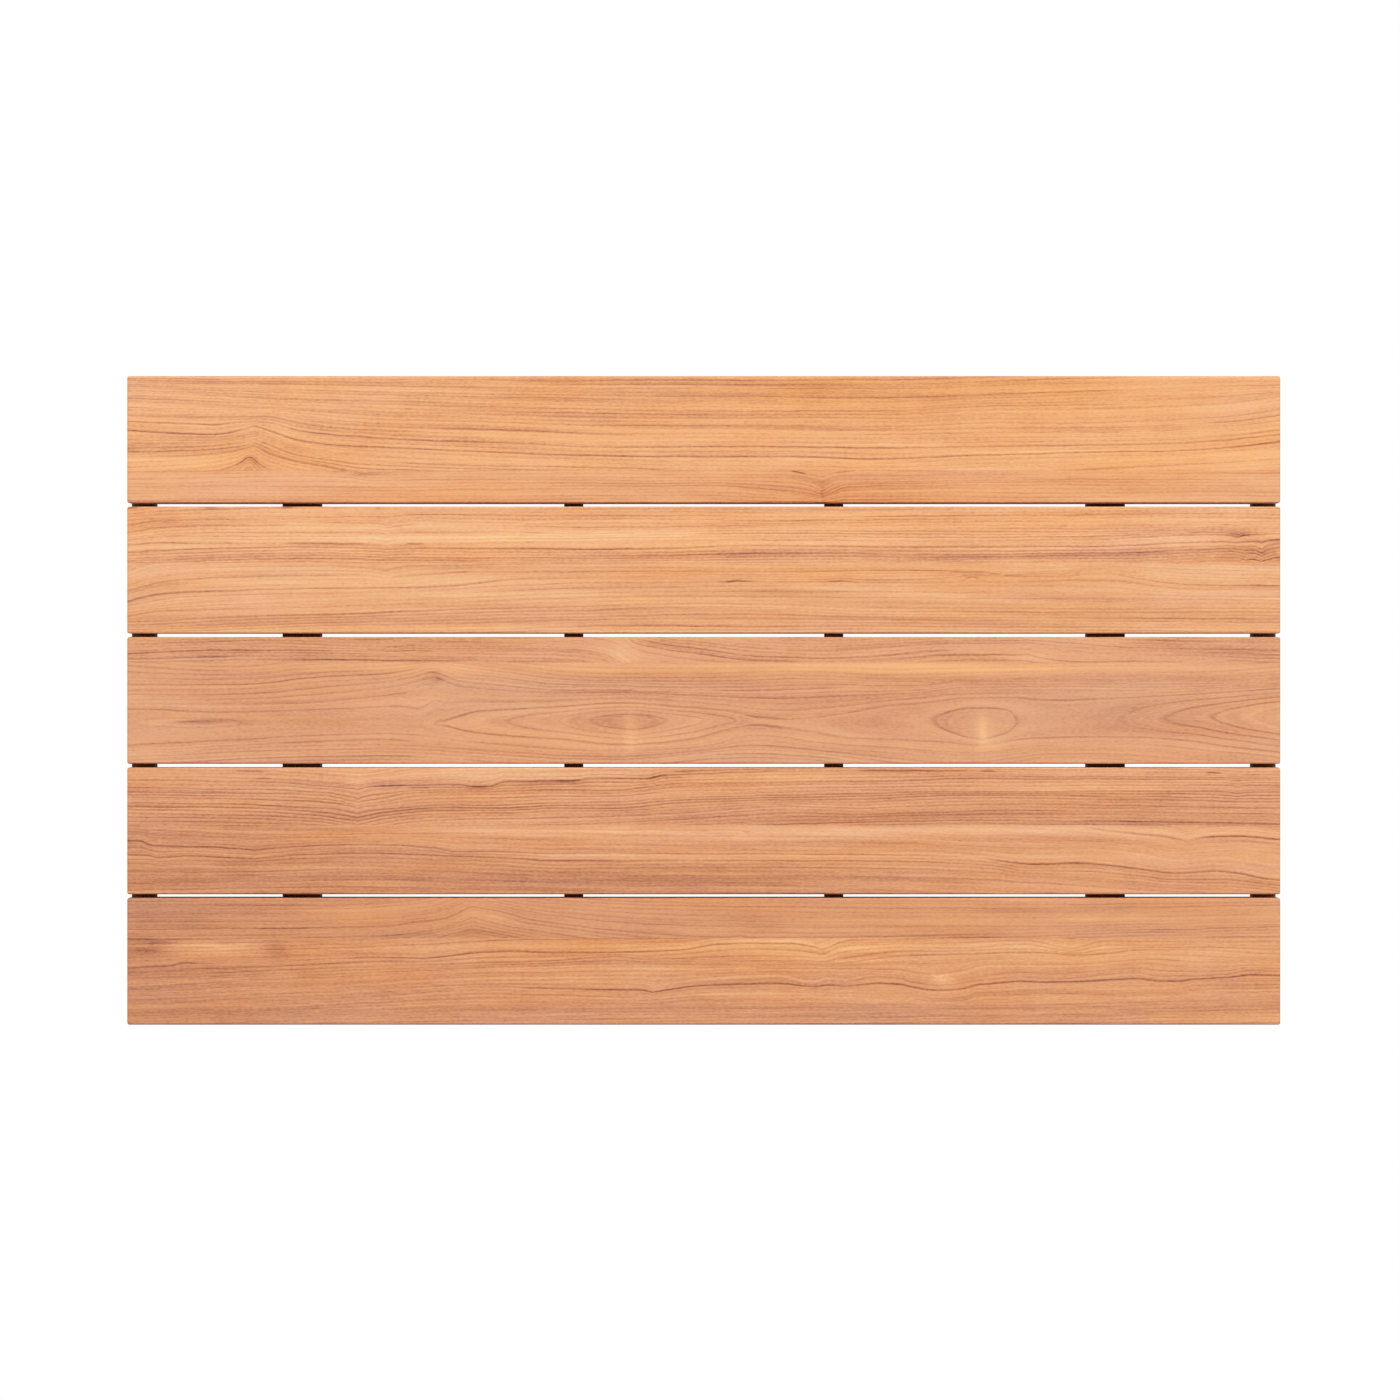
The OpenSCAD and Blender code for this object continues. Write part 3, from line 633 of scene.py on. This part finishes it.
# Slat 4: strong wavy lines, with dark mineral streaks in the back stave
stave(4, "back", ("#a45e42", "#df9a6b", "#f8c28c"),
      guides=[
          (0, [(-400, 2), (-300, 3), (-240, 6), (-200, 2), (0, -2), (400, -3)]),
          (3, [(-400, 9), (-300, 10.5), (-240, 14), (-228, 12.5), (-197, 11.8), (-170, 11.5),
               (-158, 13.2), (-148, 12.5), (-138, 9.7), (-93, 9.5), (-72, 7.6), (-40, 8.2), (-27, 5.2),
               (4, 4.2), (60, 2.6), (130, 2.4), (200, 3), (300, 3), (350, 3.2), (380, 5), (400, 5)]),
          (6, [(-400, 16.5), (-300, 18), (-260, 19.8), (-240, 23), (-220, 21), (-200, 18), (-160, 17),
               (-100, 15.3), (-60, 15.8), (-40, 14), (-20, 11.5), (60, 10), (200, 8), (400, 9)]),
          (10, [(-400, 25), (-340, 25.5), (-280, 28), (-260, 29), (-240, 31), (-220, 29), (-180, 26),
                (-150, 26.5), (-100, 24), (-60, 23.8), (-20, 21.5), (60, 19), (136, 17.5), (300, 16.5),
                (400, 17)]),
          (12, [(-400, 29.5), (-320, 30.5), (-270, 33), (-240, 36.5), (-220, 33), (-180, 30),
                (-140, 30), (-100, 27.7), (-60, 28), (-20, 25), (40, 23), (136, 21), (180, 19.7),
                (240, 19.5), (300, 20.3), (400, 21.7)]),
          (16, [(-400, 39.5), (-270, 42), (-240, 45), (-200, 40), (-100, 37), (-20, 34), (20, 31.5),
                (60, 29.5), (110, 30.5), (136, 29), (240, 27.5), (320, 29), (400, 30.5)]),
          (21, [(-400, 50), (-240, 56), (0, 43.5), (200, 39), (400, 41)]),
      ],
      kinks=[(-240, 24, 1.6, 3.5, 16), (370, 14, 1.6, 5, 8)],
      marks=[(-430, 430, 22, 0.95), (-316, -296, 7, 1.0), (-368, -362, 6, 0.9), (-328, -300, 3, 1.0)],
      rings=[(3, -236, 60, 0.95), (3, -238, -194, 1.35), (3, -166, -146, 1.5), (3, -140, -98, 1.0),
             (3, -110, -78, 1.55), (3, -84, -44, 1.1), (3, -46, -18, 1.45), (3, -20, 50, 0.9),
             (3, 100, 190, 1.1), (3, 188, 206, 1.3), (3, 300, 332, 0.9), (3, 345, 362, 1.3),
             (3, 371, 389, 1.2), (2, -30, 10, 1.0), (4, -210, -184, 0.9), (5, -430, 430, 0.6),
             (6, -430, 430, 0.75), (7, -430, 430, 0.55), (8, -430, 430, 0.6), (10, -430, 430, 0.75),
             (11, -240, 430, 0.5), (12, -430, 430, 0.8), (13, -430, 430, 0.6), (15, -430, 430, 0.6),
             (17, -430, 430, 0.5)],
      patches=[(-110, 10, 30, 1.3, -0.14), (-32, 6.5, 14, 1.5, -0.14), (140, 2.5, 45, 1.3, -0.1),
               (-240, 11, 9, 7, 0.12), (-157, 12.5, 8, 1.2, -0.14), (-300, 35, 140, 5, -0.1),
               (220, 33, 240, 6, -0.16), (-150, 5, 80, 4, 0.12), (50, 7, 60, 2.5, 0.08),
               (-10, 34, 60, 5, -0.06), (100, 20, 200, 8, -0.03), (250, 10, 60, 12, 0.1),
               (230, 38, 260, 4, -0.1), (-250, 20, 50, 6, -0.07), (250, 20, 50, 6, 0.05)],
      drift=(-0.02, 0.03),
      warmth=[(50, 14, 220, 14, 0.3)])

stave(4, "front", ("#a86243", "#de9969", "#f6bc89"),
      guides=[
          (0, [(-400, 37), (0, 35), (200, 36), (257, 40.5), (280, 44), (320, 48), (336, 50.5),
               (345, 49), (370, 47.5), (400, 50)]),
          (3, [(-400, 43), (-300, 47), (-200, 45.5), (0, 48), (136, 48.5), (180, 51), (260, 52.5),
               (300, 55.5), (330, 60), (345, 59), (370, 57.5), (400, 60)]),
          (7, [(-400, 51.5), (-392, 51.3), (-382, 54.5), (-340, 56), (-312, 57), (-280, 55.2),
               (-240, 53.5), (-190, 55.2), (-173, 58), (-140, 58.5), (-100, 60.3), (-60, 59.5), (0, 60),
               (60, 59.7), (136, 60.5), (190, 62.5), (215, 66), (228, 67), (260, 66), (280, 67.5),
               (300, 70), (326, 73.3), (355, 72), (370, 73.3), (390, 77), (400, 78)]),
          (9, [(-400, 61), (-385, 61.3), (-378, 63), (-360, 61.7), (-325, 62.8), (-280, 60.5),
               (-240, 59.5), (-185, 61), (-120, 64), (-100, 65), (0, 64.5), (136, 65), (180, 66.5),
               (200, 67.8), (225, 71.5), (260, 71.3), (300, 75), (325, 77.5), (360, 77.7),
               (395, 81.5)]),
          (14, [(-400, 75), (-345, 75), (-300, 74.5), (-240, 73), (-100, 77), (60, 77.5), (200, 80.5),
                (300, 87), (400, 92)]),
          (19, [(-400, 88), (-240, 85), (-100, 88), (200, 91.5), (400, 101)]),
      ],
      kinks=[(-312, 60, 0.8, 5, 9), (336, 52, 1.2, 4, 8), (30, 44, 1.2, 3, 2.5)],
      marks=[(-348, -298, 74.7, 0.95), (257, 338, 45, 1.1), (338, 430, 48, 1.6), (-148, -141, 44, 0.9),
             (26, 34, 44.5, 1.1), (-5, 5, 44, 0.8), (0, 300, 50.5, 0.5), (0, 300, 48, 0.45),
             (200, 430, 73, 0.6), (-430, 430, 81, 0.5)],
      rings=[(7, -430, -370, 1.3), (7, -430, 190, 1.1), (9, -430, -370, 1.3), (9, -430, 190, 1.05),
             (7, 190, 430, 1.2), (9, 180, 430, 1.0), (8, 240, 430, 0.7)],
      calm=[(-60, 82, 450, 11, 0.5), (0, 50, 400, 6, 0.3), (0, 62, 900, 40, 0.16)],
      patches=[(0, 45, 260, 4, 0.2), (240, 43, 180, 3.5, 0.12), (-200, 50, 120, 3, 0.08),
               (0, 57, 240, 1.8, -0.1), (0, 62.3, 260, 1.5, 0.12), (-320, 70, 90, 4, -0.06),
               (-60, 79, 280, 9, -0.18), (330, 58, 60, 5, 0.06), (60, 62, 300, 5, 0.06),
               (-380, 62, 60, 6, 0.06), (-370, 80, 50, 7, -0.04), (-290, 48, 160, 8, -0.05),
               (0, 79, 160, 8, -0.06), (250, 79, 50, 8, 0.05), (360, 64, 40, 7, -0.07)],
      drift=(-0.12, 0.04),
      warmth=[(-380, 50, 60, 20, -0.5), (30, 60, 180, 8, 0.5), (0, 80, 200, 8, -0.3)])

# Slat 5: one bold figured stave, wavy where the tree leaned, and a dark left end
stave(5, "back", ("#ae6a49", "#da9566", "#f0b17a"),
      guides=[
          (-2, [(-400, -5), (-265, -4), (-200, -9), (-160, -18), (-120, -10), (0, -3), (200, -2),
                (400, -4)]),
          (2, [(-400, 5), (-265, 5), (-200, 1), (-160, -6), (-120, 0), (0, 6), (200, 7), (310, 6.5),
               (400, 5)]),
          (5, [(-400, 14), (-265, 13), (-220, 12), (-190, 8.5), (-160, 0.5), (-145, 3), (-100, 10),
               (0, 16), (200, 17), (310, 16), (400, 14)]),
          (8, [(-400, 22.5), (-320, 21.5), (-265, 20.7), (-220, 19.5), (-200, 17), (-180, 14.5),
               (-170, 11), (-160, 7.5), (-145, 9), (-120, 14.5), (-100, 17.5), (-60, 23), (0, 26.5),
               (100, 27), (200, 25), (310, 22), (340, 22.5), (350, 21.5), (400, 20)]),
          (12, [(-400, 32), (-220, 29), (-190, 25), (-160, 18), (-130, 23), (-60, 33), (0, 36),
                (200, 34), (310, 31), (400, 29)]),
          (16, [(-400, 42), (-220, 40), (-160, 28), (-60, 44), (200, 44), (400, 39)]),
      ],
      kinks=[(-160, 14, -2.0, 7, 16), (25, 26, -1.2, 4, 5)],
      marks=[(-320, -262, 21, 1.0), (-430, -320, 22, 0.55), (-262, 100, 21, 0.6), (300, 430, 21.5, 0.9),
             (300, 390, 12.7, 0.6), (-235, -195, 26, 0.8), (155, 210, 27, 0.9), (-120, 0, 24, 0.6)],
      patches=[(-160, 24, 12, 4, -0.1), (-200, 26, 28, 2.5, -0.1), (-160, 4, 14, 4, 0.1),
               (180, 27, 40, 2, -0.15), (330, 23, 50, 4, -0.1), (-150, 14, 20, 5, 0.08),
               (350, 6, 90, 6, -0.1), (180, 5, 60, 5, -0.06), (-370, 14, 60, 12, -0.1),
               (-230, 12, 60, 10, 0.06)],
      drift=(-0.12, 0.05),
      warmth=[(-380, 14, 70, 20, -0.5), (-240, 18, 60, 10, 0.5)])

stave(5, "front", ("#a66243", "#dd9665", "#f6bf86"),
      guides=[
          (-4, [(-400, 26), (-290, 25), (-136, 20), (30, 15), (82, 17), (400, 11)]),
          (0, [(-400, 38), (-290, 36), (-220, 33.7), (-190, 32), (-136, 29.5), (-20, 28), (30, 23),
               (60, 23), (82, 27), (95, 22.5), (105, 21), (255, 22), (400, 19)]),
          (3, [(-400, 49), (-370, 47), (-360, 45), (-310, 44.7), (-260, 42), (-220, 41), (-195, 41.3),
               (-160, 38), (-136, 37), (-80, 38), (-20, 36.3), (10, 32.3), (30, 31), (60, 31.3),
               (75, 33.5), (82, 35), (95, 30.5), (105, 29), (220, 27), (255, 31), (280, 27.5),
               (400, 27)]),
          (5, [(-400, 54), (-350, 52.5), (-290, 50), (-220, 47), (-160, 45.5), (-110, 43.5), (-60, 41),
               (-40, 42.5), (40, 40), (82, 41.5), (95, 38), (136, 34.5), (170, 35), (220, 32.3),
               (255, 36.5), (280, 32.5), (400, 33)]),
          (7, [(-400, 58), (-290, 54), (-136, 48), (-60, 46), (60, 46), (85, 46.5), (136, 40.2),
               (180, 39), (230, 38), (262, 39.5), (280, 38), (300, 36), (340, 36.5), (400, 39)]),
          (9, [(-400, 63), (-290, 58), (-136, 52), (-60, 51), (0, 50.5), (40, 49), (130, 49.5),
               (155, 52.5), (175, 51), (200, 46), (250, 46), (310, 42.3), (340, 44), (400, 45)]),
          (12, [(-400, 71), (-360, 69.5), (-320, 67.5), (-260, 65.5), (-200, 62), (-136, 60),
                (-45, 60.2), (-35, 61.5), (0, 58), (50, 55.5), (76, 60), (85, 57.7), (95, 58.5),
                (120, 54.7), (136, 55.5), (145, 58.5), (165, 60), (190, 57.5), (220, 54.5), (240, 56),
                (300, 52), (318, 55), (338, 55), (360, 53.5), (380, 50.5), (400, 51)]),
          (14, [(-400, 76), (-260, 70), (-136, 64), (-40, 66.3), (0, 63), (40, 62), (80, 63.5),
                (140, 64), (160, 67.5), (180, 66.5), (190, 63), (260, 60.5), (330, 61), (340, 58.5),
                (400, 57)]),
          (20, [(-400, 88), (-260, 82), (-40, 79), (200, 77), (400, 72)]),
          (27, [(-400, 104), (0, 95), (400, 89)]),
      ],
      kinks=[(82, 38, 1.2, 5, 7), (-35, 63, 1.5, 3, 4), (255, 33, 1.4, 5, 5), (163, 58, 1.0, 6, 5)],
      calm=[(-300, 80, 160, 14, 0.6), (50, 82, 300, 12, 0.5), (-340, 60, 80, 10, 0.5),
            (0, 56, 900, 40, 0.25)],
      rings=[(3, -255, 120, 1.1)],
      marks=[(-430, 430, 45, 0.55), (-136, 430, 58, 1.5), (-430, -260, 68, 0.8), (-430, -340, 46, 1.0),
             (-140, 430, 62.5, 0.8), (-290, -190, 34, 0.6), (130, 290, 38.5, 0.85), (262, 285, 38, 1.1),
             (-140, 340, 50, 0.7), (-350, 290, 42.5, 0.65), (10, 44, 82, 1.0), (250, 260, 30, 1.0),
             (136, 430, 34, 0.5)],
      patches=[(-345, 35, 32, 4, 0.26), (-375, 31, 14, 0.8, -0.22), (-350, 34.5, 10, 0.7, -0.2),
               (-330, 31.5, 8, 0.7, -0.18), (-388, 36, 10, 0.8, -0.25), (-296, 36, 9, 6, -0.2),
               (-378, 33, 14, 3, -0.1), (-390, 40, 22, 10, -0.16), (165, 57, 9, 4, 0.25),
               (95, 43, 50, 2, 0.2), (110, 35, 50, 2.5, 0.15), (-330, 80, 90, 8, -0.06),
               (300, 82, 120, 3.5, 0.12), (-100, 80, 120, 6, -0.04), (60, 30, 60, 3, 0.15),
               (240, 33, 40, 2.5, 0.12), (0, 34, 50, 2, 0.12), (-150, 36, 80, 6, 0.08),
               (250, 80, 260, 9, -0.18), (370, 56, 70, 12, -0.12), (200, 36, 220, 5, 0.08),
               (-200, 80, 120, 9, -0.08), (-370, 60, 50, 10, -0.08), (-350, 40, 50, 6, -0.04),
               (-50, 36, 50, 6, 0.05), (50, 50, 50, 6, 0.05), (250, 79, 60, 8, -0.05)],
      drift=(-0.12, 0.05),
      warmth=[(20, 36, 300, 9, 1.0), (0, 82, 500, 9, -0.7), (-380, 60, 60, 15, -0.5)])


# ---------------------------------------------------------------------------------------------
# Battens: eight narrow cross pieces of the same teak, planed but not oiled, with rounded lower
# edges. They lie under the slats, are screwed to them from below, and hold the feet.

def planed_teak_in_painted_shade(name, dark, middle, light):
    """Teak straight off the planer: straight grain along Y, drier and duller than the oiled slats,
    with fine dark pores and a line every ring, about 2.5 mm apart. The colours the battens give it
    are darker than the wood's own: painted shade, for the shade they lie in under the slats."""
    material = bpy.data.materials.new(name)
    material.use_nodes = True
    tree = material.node_tree
    tree.nodes.clear()
    place = add(tree, "ShaderNodeTexCoord").outputs["Object"]
    bend_at = add(tree, "ShaderNodeMapping", {"Vector": place, "Scale": (25, 6, 25)}).outputs[0]
    bend = add(tree, "ShaderNodeTexNoise",
               {"Vector": bend_at, "Scale": 1.0, "Detail": 2.0}).outputs["Fac"]
    axes = add(tree, "ShaderNodeSeparateXYZ", {0: place}).outputs
    slant = add(tree, "ShaderNodeMath", {0: axes["Z"], 1: 0.7, 2: axes["X"]},
                operation="MULTIPLY_ADD").outputs[0]
    count = add(tree, "ShaderNodeMath", {0: slant, 1: 400.0}, operation="MULTIPLY").outputs[0]
    ring = add(tree, "ShaderNodeMath", {0: bend, 1: 5.0, 2: count}, operation="MULTIPLY_ADD").outputs[0]
    part = add(tree, "ShaderNodeMath", {0: ring}, operation="FRACT").outputs[0]
    latewood = add(tree, "ShaderNodeMath", {0: part, 1: 4.0}, operation="POWER").outputs[0]
    fibre_at = add(tree, "ShaderNodeMapping", {"Vector": place, "Scale": (1400, 80, 1400)}).outputs[0]
    fibre = add(tree, "ShaderNodeTexNoise",
                {"Vector": fibre_at, "Scale": 1.0, "Detail": 3.0}).outputs["Fac"]
    pore_at = add(tree, "ShaderNodeMapping", {"Vector": place, "Scale": (3000, 250, 3000)}).outputs[0]
    pore_noise = add(tree, "ShaderNodeTexNoise",
                     {"Vector": pore_at, "Scale": 1.0, "Detail": 1.0}).outputs["Fac"]
    pore = add(tree, "ShaderNodeMapRange",
               {"Value": pore_noise, "From Min": 0.62, "From Max": 0.7,
                "To Min": 0.0, "To Max": 1.0}).outputs[0]
    shade = add(tree, "ShaderNodeMath", {0: latewood, 1: -0.35, 2: 0.45},
                operation="MULTIPLY_ADD").outputs[0]
    shade = add(tree, "ShaderNodeMath", {0: fibre, 1: 0.45, 2: shade},
                operation="MULTIPLY_ADD").outputs[0]
    shade = add(tree, "ShaderNodeMath", {0: pore, 1: -0.25, 2: shade},
                operation="MULTIPLY_ADD").outputs[0]
    ramp = add(tree, "ShaderNodeValToRGB", {"Fac": shade})
    stops = ramp.color_ramp.elements
    stops[0].position = 0.1
    stops[0].color = linear(dark)
    stops[1].position = 0.95
    stops[1].color = linear(light)
    stops.new(0.6).color = linear(middle)
    bump = add(tree, "ShaderNodeBump", {"Height": shade, "Strength": 0.3, "Distance": 0.0003}).outputs[0]
    shader = add(tree, "ShaderNodeBsdfPrincipled",
                 {"Base Color": ramp.outputs["Color"], "Roughness": 0.72, "Normal": bump, "IOR": 1.5})
    add(tree, "ShaderNodeOutputMaterial", {"Surface": shader.outputs[0]})
    return material


BATTEN_PLACES = [f"{half}_{place}" for half in ("left", "right")
                 for place in ("end", "outer_twin", "inner_twin", "middle")]
# The batten colours are the teak's own brown darkened almost to black: painted shade, standing in for the
# deep shade the battens lie in under the slats
batten_teak_painted_shade = planed_teak_in_painted_shade("planed_teak_in_painted_shade", "#482412", "#7a4929", "#8e5e3a")
for place in BATTEN_PLACES:
    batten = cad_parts[place + "_batten"]
    batten.data.materials.clear()
    batten.data.materials.append(batten_teak_painted_shade)


# ---------------------------------------------------------------------------------------------
# Screws: stainless countersunk wood screws with a cross recess, driven from below, their heads a
# millimetre under the batten's face. Cold-headed and tumbled, so they are bright but not polished.

def tumbled_stainless(name):
    """Stainless steel, tumbled bright: a pale grey metal with a fine, undirected scatter of wear."""
    material = bpy.data.materials.new(name)
    material.use_nodes = True
    tree = material.node_tree
    tree.nodes.clear()
    place = add(tree, "ShaderNodeTexCoord").outputs["Object"]
    scatter = add(tree, "ShaderNodeTexNoise",
                  {"Vector": place, "Scale": 2500.0, "Detail": 3.0}).outputs["Fac"]
    stain = add(tree, "ShaderNodeTexNoise",
                {"Vector": place, "Scale": 400.0, "Detail": 2.0}).outputs["Fac"]
    colour = add(tree, "ShaderNodeMix", {0: stain, 6: linear("#8f9093"), 7: linear("#c9cacc")},
                 data_type="RGBA").outputs[2]
    rough = add(tree, "ShaderNodeMapRange",
                {"Value": scatter, "From Min": 0.3, "From Max": 0.7,
                 "To Min": 0.25, "To Max": 0.42}).outputs[0]
    bump = add(tree, "ShaderNodeBump", {"Height": scatter, "Strength": 0.15, "Distance": 0.0001}).outputs[0]
    shader = add(tree, "ShaderNodeBsdfPrincipled",
                 {"Base Color": colour, "Metallic": 1.0, "Roughness": rough, "Normal": bump})
    add(tree, "ShaderNodeOutputMaterial", {"Surface": shader.outputs[0]})
    return material


stainless = tumbled_stainless("tumbled_stainless")
for place in BATTEN_PLACES:
    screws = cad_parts[place + "_screws"]
    screws.data.materials.clear()
    screws.data.materials.append(stainless)


# ---------------------------------------------------------------------------------------------
# Feet: moulded black rubber buttons, three under each batten, with a ribbed stem pushed into a
# blind hole and two concentric grooves in the sole for grip on a wet floor.

# Points round a foot
FOOT_ROUND = 40
# A foot's outline, in millimetres: stem, rim, and the two grooves by radius, depth and half width
STEM_R = 2.5
STEM_RIBS = 3
RIB_DEPTH = 0.35
RIM_R = 1.0
GROOVE_DEPTH = 0.5
GROOVE_PLACES = (2.0, 3.7)
GROOVE_HALF = 0.35


def moulded_rubber(name):
    """Moulded nitrile rubber: near black, matt, with the fine even spark-eroded grain of its mould."""
    material = bpy.data.materials.new(name)
    material.use_nodes = True
    tree = material.node_tree
    tree.nodes.clear()
    place = add(tree, "ShaderNodeTexCoord").outputs["Object"]
    grain = add(tree, "ShaderNodeTexNoise",
                {"Vector": place, "Scale": 3500.0, "Detail": 2.0}).outputs["Fac"]
    bloom = add(tree, "ShaderNodeTexNoise",
                {"Vector": place, "Scale": 220.0, "Detail": 3.0}).outputs["Fac"]
    colour = add(tree, "ShaderNodeMix", {0: bloom, 6: linear("#232221"), 7: linear("#3b3937")},
                 data_type="RGBA").outputs[2]
    rough = add(tree, "ShaderNodeMapRange",
                {"Value": bloom, "From Min": 0.3, "From Max": 0.7,
                 "To Min": 0.68, "To Max": 0.85}).outputs[0]
    bump = add(tree, "ShaderNodeBump", {"Height": grain, "Strength": 0.35, "Distance": 0.00008}).outputs[0]
    shader = add(tree, "ShaderNodeBsdfPrincipled",
                 {"Base Color": colour, "Roughness": rough, "Normal": bump, "IOR": 1.52})
    add(tree, "ShaderNodeOutputMaterial", {"Surface": shader.outputs[0]})
    return material


def foot_profile(radius, sole_h, top):
    """Radius and height of a foot's outline, from the middle of the sole round the rim and up the
    ribbed stem to the middle of its top. The sole's height is a cosine dip at each groove."""
    flat = np.linspace(0, radius - RIM_R, 29)
    dips = np.zeros_like(flat)
    for groove in GROOVE_PLACES:
        away = np.clip(np.abs(flat - groove) / GROOVE_HALF, 0, 1)
        dips += GROOVE_DEPTH * (1 + np.cos(math.pi * away)) / 2
    turn = np.linspace(0, math.pi / 2, 7)[1:]
    rim_r = radius - RIM_R + RIM_R * np.sin(turn)
    rim_z = RIM_R - RIM_R * np.cos(turn)
    climb = np.linspace(0, 1, 8 * STEM_RIBS + 1)
    stem_z = sole_h + climb * (top - sole_h)
    stem_r = STEM_R - RIB_DEPTH * (climb * STEM_RIBS % 1)
    stem_r[-1] = STEM_R - 2 * RIB_DEPTH
    r = np.concatenate([flat, rim_r, [radius], stem_r, [0]])
    z = np.concatenate([dips, rim_z, [sole_h], stem_z, [top]])
    return r, z


def revolve(r, z):
    """Carries a profile (r, z) round the upright axis: points and outward quads, with one point at
    each end of the profile, where triangles close the pole."""
    angle = np.arange(FOOT_ROUND) * 2 * math.pi / FOOT_ROUND
    inner_r, inner_z = r[1:-1], z[1:-1]
    ring_x, ring_y = np.outer(inner_r, np.cos(angle)), np.outer(inner_r, np.sin(angle))
    body = np.stack([ring_x, ring_y, np.repeat(inner_z[:, None], FOOT_ROUND, 1)], -1).reshape(-1, 3)
    points = np.concatenate([body, [[0, 0, z[0]], [0, 0, z[-1]]]])
    index = np.arange(len(body)).reshape(-1, FOOT_ROUND)
    across = np.roll(index, -1, 1)
    quads = np.stack([index[:-1], across[:-1], across[1:], index[1:]], -1).reshape(-1, 4)
    sole = np.full(FOOT_ROUND, len(body))
    sole_fan = np.stack([sole, across[0], index[0]], -1)
    top_fan = np.stack([sole + 1, index[-1], across[-1]], -1)
    return points, quads.tolist() + sole_fan.tolist() + top_fan.tolist()


rubber = moulded_rubber("moulded_rubber")
for place in BATTEN_PLACES:
    node = place + "_feet"
    low, high = (np.array(corner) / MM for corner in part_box(node))
    middle_x = (low[0] + high[0]) / 2
    foot_r = (high[0] - low[0]) / 2
    seat_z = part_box(place + "_batten")[0].z / MM
    one, faces = revolve(*foot_profile(foot_r, seat_z, high[2]))
    points, all_faces = [], []
    for middle_y in (low[1] + foot_r, (low[1] + high[1]) / 2, high[1] - foot_r):
        shift = sum(map(len, points))
        points.append(one + [middle_x, middle_y, 0])
        all_faces += [[corner + shift for corner in face] for face in faces]
    mesh = bpy.data.meshes.new("rubber_" + node)
    mesh.from_pydata((np.concatenate(points) * MM).tolist(), [], all_faces)
    mesh.polygons.foreach_set("use_smooth", np.ones(len(mesh.polygons), bool))
    mesh.set_sharp_from_angle(angle=math.radians(35))
    mesh.materials.append(rubber)
    feet = bpy.data.objects.new("rubber_" + node, mesh)
    bpy.context.scene.collection.objects.link(feet)
    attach(feet, "root")
    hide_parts(node)


# ---------------------------------------------------------------------------------------------
# Studio: the mat lies on a plain white lit table and is seen from straight above under a wide
# soft light that comes a little from the back, so the front edges of the slats fall into shade.

# Table and camera place in metres, lens and sensor in millimetres
FLOOR_HALF = 3.0
CAMERA_PLACE = (-0.0026, 0.0003, 2.501)
CAMERA_LENS = 91.43
CAMERA_SENSOR = 36.0
# Strengths of the sky, of the table as the mat is lit by it, and of the softbox
SKY = 0.62
TABLE_LIGHT = 0.22
KEY_STRENGTH = 1.55
# How the softbox is turned from straight overhead, and how wide it looks from the mat
KEY_TURN = (math.radians(-38), math.radians(8), 0.0)
KEY_SPREAD = math.radians(50)

floor_mesh = bpy.data.meshes.new("table")
corners = [(sx * FLOOR_HALF, sy * FLOOR_HALF, 0) for sx, sy in ((-1, -1), (1, -1), (1, 1), (-1, 1))]
floor_mesh.from_pydata(corners, [], [(0, 1, 2, 3)])
floor_material = bpy.data.materials.new("lit_white_table")
floor_material.use_nodes = True
tree = floor_material.node_tree
tree.nodes.clear()
seen = add(tree, "ShaderNodeLightPath").outputs["Is Camera Ray"]
level = add(tree, "ShaderNodeMapRange", {"Value": seen, "To Min": TABLE_LIGHT, "To Max": 1.0}).outputs[0]
glow = add(tree, "ShaderNodeEmission", {"Color": linear("#ffffff"), "Strength": level}).outputs[0]
clear = add(tree, "ShaderNodeBsdfTransparent").outputs[0]
below = add(tree, "ShaderNodeNewGeometry").outputs["Backfacing"]
surface = add(tree, "ShaderNodeMixShader", {0: below, 1: glow, 2: clear}).outputs[0]
add(tree, "ShaderNodeOutputMaterial", {"Surface": surface})
floor_mesh.materials.append(floor_material)
floor = bpy.data.objects.new("table", floor_mesh)
bpy.context.scene.collection.objects.link(floor)
floor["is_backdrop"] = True

world = bpy.data.worlds.new("studio")
world.use_nodes = True
sky = world.node_tree.nodes["Background"]
sky.inputs["Color"].default_value = (1.0, 1.0, 1.0, 1.0)
sky.inputs["Strength"].default_value = SKY
bpy.context.scene.world = world

key_light = bpy.data.lights.new("overhead_softbox", "SUN")
key_light.energy = KEY_STRENGTH
key_light.angle = KEY_SPREAD
key = bpy.data.objects.new("overhead_softbox", key_light)
key.rotation_euler = KEY_TURN
bpy.context.scene.collection.objects.link(key)

camera_data = bpy.data.cameras.new("overhead")
camera_data.lens = CAMERA_LENS
camera_data.sensor_width = CAMERA_SENSOR
camera = bpy.data.objects.new("overhead", camera_data)
camera.location = CAMERA_PLACE
bpy.context.scene.collection.objects.link(camera)
bpy.context.scene.camera = camera
bpy.context.scene.view_settings.view_transform = "Standard"

low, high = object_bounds()
